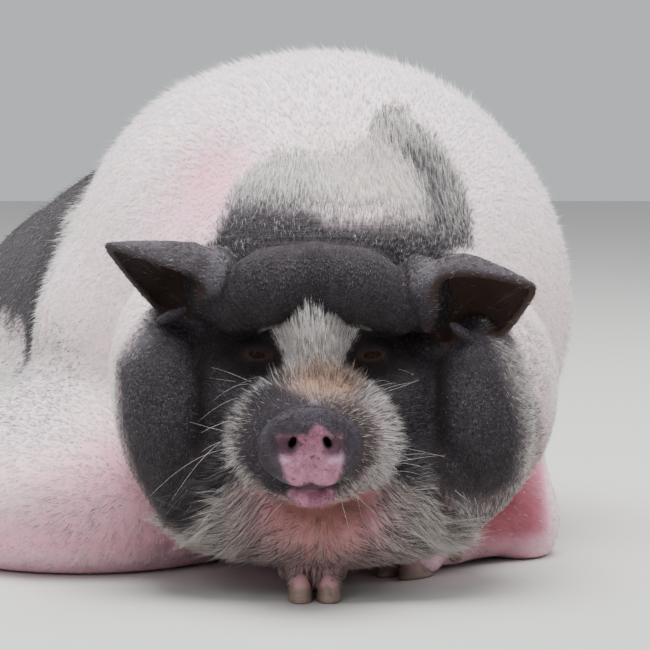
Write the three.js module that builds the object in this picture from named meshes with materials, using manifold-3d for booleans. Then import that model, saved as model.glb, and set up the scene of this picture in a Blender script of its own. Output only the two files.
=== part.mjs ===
// A pot-bellied pig lying on its chest, as a still, life-size model.
//
// The whole animal is one smooth form, written as a distance function: eggs and tapered limbs run
// softly into each other. The nodes are that one form, parted with thin cuts. Each node is a closed
// skin whose points are drawn in along rays, from outside to the form, towards a heart inside it.
//
// Millimetres, +Z up. The pig faces -Y. Its own left side is at +X. The origin is on the floor,
// under the chest, and everything that lies on the floor ends in a flat at z = 0.

import * as THREE from "three";
import { mergeVertices } from "three/addons/utils/BufferGeometryUtils.js";
import Module from "manifold-3d";

const wasm = await Module();
wasm.setup();

// ------------------------------------------------------------------ driving dimensions

const GAP = 0.4;                        // width of the cuts between nodes
const EYES = [81, -462, 227];           // middle between the eyes
const FACE_SKEW = 0.035;                // the snout is held slightly to the pig's right
const HEAD_BACK = 88;                   // cut from head to neck, behind the eyes
const NECK_BACK = -262;                 // cut from neck to trunk, in the frame of the whole
const SNOUT_BACK = -60;                 // cut from head to snout, in front of the eyes
const MOUTH_LEVEL = -108;               // cut from snout to chin, below the eyes

const TRUNK_START = [90, -120];         // the withers, above the floor
const TRUNK_YAW = 28;                   // the trunk lies across, its rump to the pig's right
const BELLY_RADII = [236, 250, 218];
const LOIN_RADII = [215, 210, 186];
const RUMP_RADII = [192, 180, 162];
const SHOULDER_RADII = [260, 285, 261];

const EYE_RADIUS = 10;
const EYE_AT = [54, 3, -1];             // in one half of the face
const EYE_SLIT = [9.5, 17, 3.4];

const EAR_DEPTH = 34;                   // into the cup
const EAR_WALL = 5.4;
const EAR_RIM = 16;                     // from the ear's axis to its rim

const DISC = [48, 14, 36.5];            // half width, thickness and height of the nose disc
const NOSTRIL = [8, 18, 8];

const CLAW = [12, 23, 24];              // half width, half length and height of a main claw
const DEW_CLAW = [8, 9, 11];
const SKIN = 12;                        // how far a leg's node reaches around its own form
const TRUNK_COVER = 6;                  // and the trunk's around its own

// ------------------------------------------------------------------ form language

// Turns about Z, then X, then Y, in degrees. A form is a function of x, y, z.
function turned(turn, tip, roll) {
  const euler = [turn, tip, roll].map(THREE.MathUtils.degToRad);
  const m = new THREE.Matrix4().makeRotationZ(euler[0]);
  m.multiply(new THREE.Matrix4().makeRotationX(euler[1]));
  m.multiply(new THREE.Matrix4().makeRotationY(euler[2]));
  return m.elements;
}

function egg([cx, cy, cz], [rx, ry, rz], { turn = 0, tip = 0, roll = 0 } = {}) {
  const e = turned(turn, tip, roll);
  return (x, y, z) => {
    const px = x - cx;
    const py = y - cy;
    const pz = z - cz;
    const ax = (px * e[0] + py * e[1] + pz * e[2]) / rx;
    const ay = (px * e[4] + py * e[5] + pz * e[6]) / ry;
    const az = (px * e[8] + py * e[9] + pz * e[10]) / rz;
    const k0 = Math.hypot(ax, ay, az) + 1e-6;
    const k1 = Math.hypot(ax / rx, ay / ry, az / rz) + 1e-9;
    return (k0 * (k0 - 1)) / k1;
  };
}

// A tapered, round-ended limb from a to b.
function limb(a, b, ra, rb) {
  const d = [b[0] - a[0], b[1] - a[1], b[2] - a[2]];
  const dd = d[0] * d[0] + d[1] * d[1] + d[2] * d[2];
  return (x, y, z) => {
    const px = x - a[0];
    const py = y - a[1];
    const pz = z - a[2];
    const t = Math.min(1, Math.max(0, (px * d[0] + py * d[1] + pz * d[2]) / dd));
    return Math.hypot(px - t * d[0], py - t * d[1], pz - t * d[2]) - (ra + (rb - ra) * t);
  };
}

// A flat oval pad, its axis along Y, with a rounded rim.
function pad([cx, cy, cz], [rx, ry, rz], rim, tip) {
  const e = turned(0, tip, 0);
  return (x, y, z) => {
    const px = x - cx;
    const py = y - cy;
    const pz = z - cz;
    const ax = px * e[0] + py * e[1] + pz * e[2];
    const ay = px * e[4] + py * e[5] + pz * e[6];
    const az = px * e[8] + py * e[9] + pz * e[10];
    const radial = (Math.hypot(ax / rx, az / rz) - 1) * Math.min(rx, rz) + rim;
    const axial = Math.abs(ay) - ry + rim;
    const outside = Math.hypot(Math.max(radial, 0), Math.max(axial, 0));
    return outside + Math.min(Math.max(radial, axial), 0) - rim;
  };
}

function softMin(a, b, k) {
  const h = Math.max(k - Math.abs(a - b), 0) / k;
  return Math.min(a, b) - (h * h * k) / 4;
}

// Adds forms one after another: blend(first, [reach, next], [reach, next], ...).
function blend(first, ...rest) {
  return (x, y, z) => rest.reduce((d, [k, form]) => softMin(d, form(x, y, z), k), first(x, y, z));
}

const grow = (form, by) => (x, y, z) => form(x, y, z) - by;
const both = (a, b) => (x, y, z) => Math.max(a(x, y, z), b(x, y, z));
const slab = (from, to) => (x, y, z) => Math.max(from - y, y - to);
const placed = (form, [cx, cy, cz]) => (x, y, z) => form(x - cx, y - cy, z - cz);
const inFace = (form) => (x, y, z) => form(Math.abs(x - FACE_SKEW * y), y, z);

// ------------------------------------------------------------------ head, measured from EYES

// Jowls, cheeks and the pouch under the chin, one horseshoe of fat.
const collar = blend(
  egg([10, 75, -80], [185, 98, 120]),
  [50, egg([9, 16, -157], [113, 82, 46])],
  [30, egg([101, 20, -124], [78, 75, 58])],
  [30, egg([-81, 20, -121], [75, 76, 61])],
  [40, egg([147, 85, -41], [84, 95, 108])],                // rolls behind the jowls
  [40, egg([-116, 85, -23], [80, 95, 105])],
  [12, egg([-139, 20, -56], [48, 80, 96], { roll: -6 })],
  [12, egg([153, 20, -58], [51, 82, 94])],
);
const muzzle = blend(
  egg([0, -20, -66], [78, 74, 58]),
  [22, limb([0, -40, -68], [0, -104, -75], 56, 36)],
  [20, egg([34, -36, -86], [44, 48, 38])],
);
const face = blend(
  egg([0, 85, -4], [122, 100, 96]),                        // cranium
  [14, egg([80, 20, -58], [44, 50, 70])],                  // cheeks
  [22, egg([0, 2, 0], [34, 40, 60], { tip: 24 })],         // bridge
  [24, muzzle],
  [4, egg([0, -64, -107], [50, 38, 30])],                  // lower jaw
  [5, egg([0, -92, -120], [21, 18, 13])],                  // and its lip
  [5, pad([0, -114, -73], DISC, 9, -7)],
);
const brow = blend(
  limb([0, -9, 74], [40, -8, 63], 34, 34),
  [20, limb([40, -8, 63], [73, 2, 46], 34, 33)],
);
const lids = egg([EYE_AT[0], 2, 0], [21, 17, 16]);
const earRoots = blend(
  egg([97, 14, 54], [26, 44, 36]),
  [4, egg([-92, 16, 62], [26, 44, 36])],
);
const head = placed(
  blend(collar, [9, inFace(face)], [7, inFace(brow)], [6, inFace(lids)], [4, earRoots]),
  EYES,
);

// ------------------------------------------------------------------ trunk

// A place s behind the withers, l to the pig's left of its spine and z above the floor.
function along(s, l, z) {
  const a = THREE.MathUtils.degToRad(TRUNK_YAW);
  const x = TRUNK_START[0] - Math.sin(a) * s + Math.cos(a) * l;
  const y = TRUNK_START[1] + Math.cos(a) * s + Math.sin(a) * l;
  return [x, y, z];
}

const lying = { turn: TRUNK_YAW };
const barrel = blend(
  egg(along(220, 0, 200), BELLY_RADII, lying),
  [60, egg(along(380, 0, 178), LOIN_RADII, lying)],
  [60, egg(along(490, 0, 160), RUMP_RADII, lying)],
  [50, egg(along(200, -110, 92), [175, 260, 98], lying)],  // belly spread on the floor
  [50, egg(along(230, 110, 92), [165, 260, 98], lying)],
);
const shoulders = blend(
  egg([86, -82, 241], SHOULDER_RADII),
  [40, egg([-64, -75, 195], [150, 185, 160])],             // ribs on its right
  [16, egg([20, -85, 290], [184, 230, 194])],
  [50, egg([100, -220, 110], [195, 160, 112])],
  [70, egg([81, -350, 290], [150, 120, 100])],             // nape
);
const upperArmRight = egg([-148, -158, 64], [190, 228, 114]);

// A fold parts shoulders and barrel on the pig's right, and fades towards its left.
function body(x, y, z) {
  const reach = 12 + 40 * THREE.MathUtils.clamp((x + 60) / 120, 0, 1);
  return softMin(shoulders(x, y, z), barrel(x, y, z), reach);
}
const trunk = blend(body, [36, upperArmRight]);

// ------------------------------------------------------------------ legs and tail

// Two toes at the end of a pastern. The foot stands at `at` and points along `heading` degrees.
function toes(at, heading) {
  const spot = (back, side, up) => ahead(at, heading, -back, side, up);
  const lobe = (side) => egg(spot(6, side * 13, 15), [14, 27, 17], { turn: heading });
  const dew = (side) => limb(spot(38, 0, 24), spot(38, side * 17, 21), 18, 10);
  return blend(lobe(-1), [6, lobe(1)], [6, dew(-1)], [6, dew(1)]);
}

// A place in front of, beside and above a point, for a foot turned by `heading` about Z from -Y.
function ahead(at, heading, front, side, up) {
  const a = THREE.MathUtils.degToRad(heading);
  const x = at[0] + Math.sin(a) * front + Math.cos(a) * side;
  const y = at[1] - Math.cos(a) * front + Math.sin(a) * side;
  return [x, y, at[2] + up];
}

const FEET = {
  fore_left: { at: [172, -340, 0], heading: -38 },
  fore_right: { at: [80, -474, 0], heading: 2 },
  hind_left: { at: along(292, 290, 0), heading: TRUNK_YAW - 4 },
  hind_right: { at: along(292, -290, 0), heading: TRUNK_YAW + 4 },
};

const armLeft = blend(
  egg([277, -200, 66], [43, 70, 102], { roll: -8 }),
  [20, egg([278, -215, 40], [46, 50, 42])],                // point of the elbow
);
const footForeLeft = blend(
  limb([268, -240, 34], [212, -290, 27], 32, 25),
  [10, limb([212, -290, 27], ahead(FEET.fore_left.at, -38, -22, 0, 23), 25, 20)],
  [8, toes(FEET.fore_left.at, FEET.fore_left.heading)],
);
const footForeRight = blend(
  limb([58, -362, 38], [73, -424, 32], 34, 27),
  [10, limb([73, -424, 32], ahead(FEET.fore_right.at, 2, -16, 0, 23), 27, 20)],
  [8, toes(FEET.fore_right.at, FEET.fore_right.heading)],
);
function thigh(side) {
  return blend(
    egg(along(445, side * 165, 105), [92, 165, 116], { turn: TRUNK_YAW + side * 6 }),
    [24, egg(along(320, side * 205, 66), [62, 90, 66], lying)],   // stifle
  );
}
function footHind(side, { at, heading }) {
  return blend(
    limb(along(400, side * 262, 34), along(480, side * 245, 38), 30, 36),
    [14, limb(along(350, side * 284, 25), along(430, side * 266, 28), 22, 27)],
    [8, limb(ahead(at, heading, -16, 0, 22), along(350, side * 284, 25), 18, 22)],
    [8, toes(at, heading)],
  );
}
const hindLeft = thigh(1);
const hindRight = thigh(-1);
const footHindLeft = footHind(1, FEET.hind_left);
const footHindRight = footHind(-1, FEET.hind_right);
const tail = limb(along(655, 0, 205), along(685, 20, 125), 17, 9);

const whole = blend(
  trunk, [14, head],
  [18, hindLeft], [18, hindRight],
  [14, armLeft],
  [10, footForeLeft], [10, footForeRight],
  [10, footHindLeft], [10, footHindRight],
);

// ------------------------------------------------------------------ solids

function solid(geometry) {
  const bare = geometry.clone();
  bare.deleteAttribute("normal");
  bare.deleteAttribute("uv");
  const merged = mergeVertices(bare, 1e-4);
  return new wasm.Manifold(new wasm.Mesh({
    numProp: 3,
    vertProperties: new Float32Array(merged.attributes.position.array),
    triVerts: new Uint32Array(merged.index.array),
  }));
}

// Draws the points of a globe in along rays until they meet the form. The globe's pole points
// along `pole`, and `crowd` above 1 draws its rings together around that pole.
function skin(form, { heart, reach, sectors, rings, pole = [0, -1, 0], crowd = 1 }) {
  const globe = new THREE.SphereGeometry(1, sectors, rings);
  const turn = new THREE.Quaternion().setFromUnitVectors(
    new THREE.Vector3(0, 1, 0),
    new THREE.Vector3(...pole).normalize(),
  );
  const place = globe.attributes.position;
  const ray = new THREE.Vector3();
  for (let i = 0; i < place.count; i += 1) {
    ray.fromBufferAttribute(place, i).normalize();
    const polar = Math.acos(THREE.MathUtils.clamp(ray.y, -1, 1));
    const bent = Math.PI * (polar / Math.PI) ** crowd;
    const side = Math.hypot(ray.x, ray.z);
    const spread = side > 1e-6 ? Math.sin(bent) / side : 0;
    ray.set(ray.x * spread, Math.cos(bent), ray.z * spread).applyQuaternion(turn);
    const value = (t) => form(heart[0] + ray.x * t, heart[1] + ray.y * t, heart[2] + ray.z * t);
    let outer = reach;
    let d = value(outer);
    while (d > 0.02 && outer > 0) {
      outer -= Math.max(d * 0.8, 0.05);
      d = value(outer);
    }
    if (outer <= 0) {
      throw new Error("the heart lies outside its form");
    }
    place.setXYZ(i, heart[0] + ray.x * outer, heart[1] + ray.y * outer, heart[2] + ray.z * outer);
  }
  return solid(globe);
}

function block(x0, x1, y0, y1, z0, z1) {
  const box = new THREE.BoxGeometry(x1 - x0, y1 - y0, z1 - z0);
  box.translate((x0 + x1) / 2, (y0 + y1) / 2, (z0 + z1) / 2);
  return solid(box);
}

const FAR = 1500;
const floor = block(-FAR, FAR, -FAR, FAR, -FAR, 0);
const behind = (y) => block(-FAR, FAR, y, FAR, -FAR, FAR);
const before = (y) => block(-FAR, FAR, -FAR, y, -FAR, FAR);

// A node made of part of the whole: what lies within `region`, plus the same region grown by the
// gap, with which the neighbours are cut.
function limbNode(region, rays) {
  return {
    piece: skin(both(whole, grow(region, SKIN)), rays).subtract(floor),
    tool: skin(grow(region, SKIN + GAP), rays),
  };
}

const headBack = EYES[1] + HEAD_BACK;
const headRays = {
  heart: [EYES[0], EYES[1] + 30, EYES[2] - 62],
  reach: 420,
  sectors: 46,
  rings: 27,
  crowd: 1.2,
};
const fore = grow(blend(body, [14, head]), TRUNK_COVER);
const headForm = both(both(whole, slab(-FAR, headBack + 25)), fore);
const headSkin = skin(headForm, headRays).subtract(behind(headBack));
const headTool = skin(grow(headForm, GAP), headRays);

const snoutFront = EYES[1] + SNOUT_BACK;
const snoutBase = EYES[2] - 136;
const snoutBlock = block(
  EYES[0] - 100, EYES[0] + 100, EYES[1] - 300, snoutFront, snoutBase, EYES[2] + 40,
);
const snoutBlockWide = block(
  EYES[0] - 100 - GAP, EYES[0] + 100 + GAP, EYES[1] - 300, snoutFront + GAP,
  snoutBase - GAP, EYES[2] + 40 + GAP,
);
const mouth = EYES[2] + MOUTH_LEVEL;

function facePoint(x, y, z) {
  return [EYES[0] + x + FACE_SKEW * y, EYES[1] + y, EYES[2] + z];
}

function ball([x, y, z], [rx, ry, rz], { turn = 0, roll = 0, sectors = 16, rings = 10 } = {}) {
  const globe = new THREE.SphereGeometry(1, sectors, rings);
  globe.scale(rx, ry, rz);
  globe.rotateY(THREE.MathUtils.degToRad(roll));
  globe.rotateZ(THREE.MathUtils.degToRad(turn));
  globe.translate(x, y, z);
  return solid(globe);
}

let snout = headSkin.intersect(snoutBlock);
for (const side of [-1, 1]) {
  const hole = { turn: side * -12, roll: side * -24, sectors: 9, rings: 6 };
  snout = snout.subtract(ball(facePoint(side * 20, -132, -71), NOSTRIL, hole));
}
const chin = snout.intersect(block(-FAR, FAR, -FAR, FAR, -FAR, mouth - GAP / 2));
snout = snout.intersect(block(-FAR, FAR, -FAR, FAR, mouth + GAP / 2, FAR));

// ------------------------------------------------------------------ legs, feet and claws

const legRays = {
  fore_leg_left: [armLeft, { heart: [276, -205, 66], reach: 240, sectors: 14, rings: 9 }],
  fore_leg_right: [
    upperArmRight,
    { heart: [-148, -158, 60], reach: 420, sectors: 16, rings: 8, pole: [0, 0, 1] },
  ],
  fore_foot_left: [footForeLeft, { heart: [212, -290, 27], reach: 240, sectors: 10, rings: 9 }],
  fore_foot_right: [footForeRight, { heart: [60, -445, 30], reach: 200, sectors: 10, rings: 9 }],
  hind_leg_left: [hindLeft, { heart: along(400, 180, 90), reach: 420, sectors: 12, rings: 9 }],
  hind_leg_right: [hindRight, { heart: along(400, -180, 90), reach: 420, sectors: 12, rings: 9 }],
  hind_foot_left: [footHindLeft, { heart: along(390, 272, 28), reach: 240, sectors: 10, rings: 10 }],
  hind_foot_right: [
    footHindRight,
    { heart: along(390, -272, 28), reach: 240, sectors: 10, rings: 10 },
  ],
};

const legs = {};
for (const [name, [region, rays]] of Object.entries(legRays)) {
  legs[name] = limbNode(region, rays);
}

// Feet keep their full length and the upper legs give way to them, the shoulder to the thigh too.
legs.fore_leg_right.piece = legs.fore_leg_right.piece.subtract(legs.hind_leg_right.tool);
const UPPER = ["fore_leg_left", "fore_leg_right", "hind_leg_left", "hind_leg_right"];
const LOWER = ["fore_foot_left", "fore_foot_right", "hind_foot_left", "hind_foot_right"];
for (const upper of UPPER) {
  for (const lower of LOWER) {
    legs[upper].piece = legs[upper].piece.subtract(legs[lower].tool);
  }
}

// A claw: a half-egg on the floor, its sole a flat. Dew claws hang behind, clear of the floor.
function claws(name, { at, heading }) {
  const made = [];
  for (const side of [-1, 1]) {
    const word = (side === -1) === (heading > 90) ? "inner" : "outer";
    const main = ahead(at, heading, 10, side * 13, 2);
    const dew = ahead(at, heading, -40, side * 25, 20);
    made.push([
      `${name}_claw_${word}`,
      ball(main, CLAW, { turn: heading, sectors: 6, rings: 5 }).subtract(floor),
      ball(main, CLAW.map((r) => r + GAP), { turn: heading, sectors: 6, rings: 5 }),
    ]);
    made.push([
      `${name}_dew_claw_${word}`,
      ball(dew, DEW_CLAW, { turn: heading, sectors: 6, rings: 4 }),
      ball(dew, DEW_CLAW.map((r) => r + GAP), { turn: heading, sectors: 6, rings: 4 }),
    ]);
  }
  return made;
}

const clawNodes = {};
const legTools = Object.values(legs).map(({ tool }) => tool);
for (const [foot, stand] of Object.entries(FEET)) {
  const [end, side] = foot.split("_");
  const owner = `${end}_foot_${side}`;
  for (const [name, piece, tool] of claws(foot, stand)) {
    clawNodes[name] = piece;
    legTools.push(tool);
    legs[owner].piece = legs[owner].piece.subtract(tool);
    for (const upper of UPPER) {
      legs[upper].piece = legs[upper].piece.subtract(tool);
    }
  }
}

// ------------------------------------------------------------------ head, neck and trunk

const withoutLegs = (piece) => legTools.reduce((left, tool) => left.subtract(tool), piece);

let headNode = withoutLegs(headSkin.subtract(snoutBlockWide)).subtract(floor);
const eyes = {};
for (const [name, side] of [["eye_left", 1], ["eye_right", -1]]) {
  const centre = facePoint(side * EYE_AT[0], EYE_AT[1], EYE_AT[2]);
  const slit = facePoint(side * EYE_AT[0], -14, 0);
  const radii = (r) => [r, r, r];
  eyes[name] = ball(centre, radii(EYE_RADIUS), { sectors: 8, rings: 6 });
  headNode = headNode.subtract(ball(centre, radii(EYE_RADIUS + GAP), { sectors: 8, rings: 6 }));
  headNode = headNode.subtract(ball(slit, EYE_SLIT, { roll: side * -8, sectors: 8, rings: 5 }));
}

const neckForm = both(both(whole, slab(headBack - 25, NECK_BACK + 25)), fore);
const neckSkin = skin(neckForm, {
  heart: [86, (headBack + NECK_BACK) / 2, 220],
  reach: 560,
  sectors: 24,
  rings: 10,
});
const neck = withoutLegs(
  neckSkin.subtract(before(headBack + GAP)).subtract(behind(NECK_BACK - GAP)),
).subtract(floor);

const trunkForm = both(both(whole, slab(NECK_BACK - 25, FAR)), grow(body, TRUNK_COVER));
const lies = THREE.MathUtils.degToRad(TRUNK_YAW);
const trunkRays = {
  heart: along(190, 0, 190),
  reach: 900,
  sectors: 28,
  rings: 16,
  pole: [Math.sin(lies), -Math.cos(lies), 0],
};
const trunkSkin = skin(trunkForm, trunkRays);
const trunkTool = skin(grow(trunkForm, GAP), trunkRays);
const trunkNode = withoutLegs(trunkSkin.subtract(before(NECK_BACK))).subtract(floor);

const tailRays = { heart: along(668, 8, 168), reach: 120, sectors: 6, rings: 7, pole: [0, 0, 1] };
const tailNode = skin(tail, tailRays).subtract(trunkTool);

// ------------------------------------------------------------------ ears

// A cone of skin from base to tip, hollow, and open towards `opening`. It keeps its half width
// `wide` as far as `broad` of its length and then narrows to the tip. The upper edge wraps round
// by `tilt` degrees more than the lower one.
function ear({ base, tip, opening, broad, wide, tilt }) {
  const root = new THREE.Vector3(...EYES).add(new THREE.Vector3(...base));
  const axis = new THREE.Vector3(...tip).sub(new THREE.Vector3(...base));
  const length = axis.length();
  axis.normalize();
  const open = new THREE.Vector3(...opening);
  open.addScaledVector(axis, -open.dot(axis)).normalize();
  const up = new THREE.Vector3().crossVectors(axis, open);
  up.multiplyScalar(Math.sign(up.z));
  const cone = (inset) => (x, y, z) => {
    const q = new THREE.Vector3(x, y, z).sub(root);
    const t = q.dot(axis) / length;
    const narrowing = (1 - t) / (1 - broad);
    const even = (1 + narrowing - Math.hypot(1 - narrowing, 0.17)) / 2;
    const stalk = 0.72 + 0.28 * THREE.MathUtils.clamp((t + 0.05) / 0.3, 0, 1);
    const taper = THREE.MathUtils.clamp(even, 0.001, 1) ** 0.85 * stalk;
    const r = Math.hypot(q.dot(up) / wide, q.dot(open) / EAR_DEPTH);
    const wall = inset * (EAR_WALL + 10 * THREE.MathUtils.clamp(t - 0.78, 0, 1));
    const end = Math.max(-(t + 0.06) * length, (t - 0.97) * length);
    return Math.max((r - taper) * EAR_DEPTH * 0.85 + wall, end + wall);
  };
  const heart = root.clone().addScaledVector(axis, length * 0.35).toArray();
  const rays = { heart, reach: 200, sectors: 12, rings: 8, pole: axis.toArray() };
  const slant = THREE.MathUtils.degToRad(tilt);
  const facing = open.clone().multiplyScalar(Math.cos(slant)).addScaledVector(up, -Math.sin(slant));
  facing.addScaledVector(axis, EAR_RIM / length).normalize();
  const lid = new THREE.BoxGeometry(300, 300, 300);
  lid.translate(0, 0, 150);
  lid.applyQuaternion(new THREE.Quaternion().setFromUnitVectors(new THREE.Vector3(0, 0, 1), facing));
  lid.translate(...root.clone().addScaledVector(facing, EAR_RIM).toArray());
  return skin(cone(0), rays).subtract(skin(cone(1), rays)).subtract(solid(lid));
}

const earRight = ear({
  base: [-104, -4, 58],
  tip: [-197, -26, 104],
  opening: [-0.25, -0.85, -0.45],
  broad: 0.2,
  wide: 48,
  tilt: 15,
});
const earLeft = ear({
  base: [110, -6, 40],
  tip: [206, -30, 64],
  opening: [0.2, -0.93, -0.25],
  broad: 0.42,
  wide: 52,
  tilt: 4,
});

// ------------------------------------------------------------------ the pig

const SKIN_PINK = { color: 0xe2c6c4, roughness: 0.8, metalness: 0 };
const SKIN_BLACK = { color: 0x3f3a3a, roughness: 0.8, metalness: 0 };
const SKIN_SNOUT = { color: 0xa98a94, roughness: 0.6, metalness: 0 };
const HORN = { color: 0xc9a892, roughness: 0.6, metalness: 0 };
const GLOSS = { color: 0x1c120e, roughness: 0.08, metalness: 0 };

const pig = new THREE.Group();

function add(name, piece, look) {
  const { vertProperties, triVerts } = piece.getMesh();
  const geometry = new THREE.BufferGeometry();
  geometry.setAttribute("position", new THREE.BufferAttribute(new Float32Array(vertProperties), 3));
  geometry.setIndex(new THREE.BufferAttribute(new Uint32Array(triVerts), 1));
  geometry.computeVertexNormals();
  const mesh = new THREE.Mesh(geometry, new THREE.MeshStandardMaterial(look));
  mesh.name = name;
  pig.add(mesh);
}

add("head", headNode, SKIN_BLACK);
add("snout", snout, SKIN_SNOUT);
add("chin", chin, SKIN_PINK);
add("neck", neck, SKIN_PINK);
add("trunk", trunkNode, SKIN_PINK);
add("tail", tailNode, SKIN_BLACK);
add("ear_left", earLeft.subtract(headTool), SKIN_BLACK);
add("ear_right", earRight.subtract(headTool), SKIN_BLACK);
add("eye_left", eyes.eye_left, GLOSS);
add("eye_right", eyes.eye_right, GLOSS);
for (const [name, { piece }] of Object.entries(legs)) {
  add(name, piece, SKIN_PINK);
}
for (const [name, piece] of Object.entries(clawNodes)) {
  add(name, piece, HORN);
}

export default pig;
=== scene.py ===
import math

import bmesh
import bpy
import numpy as np
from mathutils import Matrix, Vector


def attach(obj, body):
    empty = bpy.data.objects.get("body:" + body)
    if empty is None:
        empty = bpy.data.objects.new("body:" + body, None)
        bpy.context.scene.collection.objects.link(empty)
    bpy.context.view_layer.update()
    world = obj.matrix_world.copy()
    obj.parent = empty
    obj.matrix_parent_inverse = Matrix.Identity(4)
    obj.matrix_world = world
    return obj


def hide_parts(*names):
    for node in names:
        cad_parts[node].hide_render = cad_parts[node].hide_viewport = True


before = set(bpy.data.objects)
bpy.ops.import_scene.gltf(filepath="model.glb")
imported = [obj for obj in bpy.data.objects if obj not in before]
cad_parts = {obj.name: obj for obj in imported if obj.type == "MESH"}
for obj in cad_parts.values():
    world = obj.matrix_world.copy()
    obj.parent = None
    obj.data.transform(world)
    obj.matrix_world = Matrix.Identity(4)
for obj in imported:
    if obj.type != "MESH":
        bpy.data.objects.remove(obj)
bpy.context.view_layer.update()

# ---------------------------------------------------------------------------------------------
# Skin. In life one continuous hide over fat: bare on the nose, wrinkled on the brow, loose and
# heavy on the jowls. It is one smooth form, written in millimetres as eggs and limbs that run
# softly into each other, and lies inside the solids by the depth of the coat.

EYES = (81, -462, 227)          # middle between the eyes; the face is measured from here
FACE_SKEW = 0.035               # the snout is held slightly to the pig's right
EYE_AT = (54, 3, -1)            # one eye, mirrored for the other
EYE_RADIUS = 10
NOSE_DISC = {"centre": (0, -114, -73), "rim": 9, "tip": -7}
NOSTRIL = {"centre": (15.5, -126, -67), "roll": -25}
TRUNK_START = (90, -120)        # the withers, above the floor
TRUNK_YAW = 28                  # the trunk lies across, its rump to the pig's right


def turned(turn=0, tip=0, roll=0):
    """Turn about Z, then X, then Y, in degrees."""
    t, x, y = np.radians([turn, tip, roll])
    about_z = np.array([[np.cos(t), -np.sin(t), 0], [np.sin(t), np.cos(t), 0], [0, 0, 1]])
    about_x = np.array([[1, 0, 0], [0, np.cos(x), -np.sin(x)], [0, np.sin(x), np.cos(x)]])
    about_y = np.array([[np.cos(y), 0, np.sin(y)], [0, 1, 0], [-np.sin(y), 0, np.cos(y)]])
    return (about_z @ about_x @ about_y).astype(np.float32)


def egg(p, centre, radii, **turn):
    """Distance of points p from an egg, negative inside it, as in all forms below."""
    q = p - np.asarray(centre, np.float32)
    if turn:
        q = q @ turned(**turn)
    a = q / np.asarray(radii, np.float32)
    k0 = np.sqrt((a * a).sum(1)) + 1e-6
    b = a / np.asarray(radii, np.float32)
    return k0 * (k0 - 1) / (np.sqrt((b * b).sum(1)) + 1e-9)


def limb(p, a, b, ra, rb):
    """A rod from a to b, ra thick at its start and rb at its end."""
    a = np.asarray(a, np.float32)
    ab = np.asarray(b, np.float32) - a
    t = np.clip(((p - a) @ ab) / (ab @ ab), 0, 1)
    q = p - a - t[:, None] * ab
    return np.sqrt((q * q).sum(1)) - (ra + (rb - ra) * t)


def pad(p, centre, half, rim, tip):
    """A flat oval pad, its axis along Y, with a rounded rim."""
    q = (p - np.asarray(centre, np.float32)) @ turned(tip=tip)
    radial = (np.hypot(q[:, 0] / half[0], q[:, 2] / half[2]) - 1) * min(half[0], half[2]) + rim
    axial = np.abs(q[:, 1]) - half[1] + rim
    outside = np.hypot(np.maximum(radial, 0), np.maximum(axial, 0))
    return outside + np.minimum(np.maximum(radial, axial), 0) - rim


def join(a, b, k):
    """a and b run into each other, with the crease filled over a width of k."""
    h = np.maximum(k - np.abs(a - b), 0) / k
    return np.minimum(a, b) - h * h * k / 4


def cut(a, b, k):
    """a without b, with the edge rounded by k."""
    return -join(-a, b, k)


def from_eyes(p):
    return p - np.asarray(EYES, np.float32)


def half_face(h):
    """Both halves of the face laid on one another, x from the midline outwards."""
    m = h.copy()
    m[:, 0] = np.abs(h[:, 0] - FACE_SKEW * h[:, 1])
    return m


def collar(h):
    """Jowls, cheeks and the pouch under the chin, one horseshoe of fat."""
    d = egg(h, (10, 75, -80), (185, 98, 120))
    d = join(d, egg(h, (9, 16, -157), (113, 82, 46)), 50)
    d = join(d, egg(h, (101, 20, -124), (78, 75, 58)), 30)
    d = join(d, egg(h, (-81, 20, -121), (75, 76, 61)), 30)
    d = join(d, egg(h, (147, 85, -41), (84, 95, 108)), 40)              # rolls behind the jowls
    d = join(d, egg(h, (-116, 85, -23), (80, 95, 105)), 40)
    d = join(d, egg(h, (-139, 20, -56), (48, 80, 96), roll=-6), 12)
    return join(d, egg(h, (153, 20, -58), (51, 82, 94)), 12)


def face(m):
    d = egg(m, (0, 85, -4), (122, 100, 96))                             # cranium
    d = join(d, egg(m, (80, 20, -58), (44, 50, 70)), 14)                # cheeks
    d = join(d, egg(m, (0, 2, 0), (34, 40, 60), tip=24), 22)            # bridge
    muzzle = egg(m, (0, -20, -66), (78, 74, 58))
    muzzle = join(muzzle, limb(m, (0, -40, -68), (0, -104, -75), 56, 36), 22)
    muzzle = join(muzzle, egg(m, (34, -36, -86), (44, 48, 38)), 20)
    d = join(d, muzzle, 24)
    d = join(d, egg(m, (0, -64, -107), (50, 38, 30)), 4)                # lower jaw
    d = join(d, egg(m, (0, -92, -120), (21, 18, 13)), 5)                # and its lip
    d = join(d, pad(m, half=(48, 14, 36.5), **NOSE_DISC), 5)
    d = cut(d, egg(m, (0, -140, -72), (36, 13, 27)), 8)                 # dished front of it
    d = cut(d, egg(m, (24, -133, -71), (11, 9, 10)), 6)
    return cut(d, egg(m, radii=(2.6, 16, 5), **NOSTRIL), 2)


def brow(m):
    d = limb(m, (0, -9, 74), (40, -8, 63), 34, 34)
    return join(d, limb(m, (40, -8, 63), (73, 2, 46), 34, 33), 20)


def head(p):
    h = from_eyes(p)
    m = half_face(h)
    d = join(collar(h), face(m), 9)
    d = join(d, brow(m), 7)
    d = join(d, egg(m, (54, 2, 0), (21, 17, 16)), 6)                    # lids
    return join(d, limb(m, (36, -6, -15), (76, 0, -17), 4, 5), 7)       # fold under the eye


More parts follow.
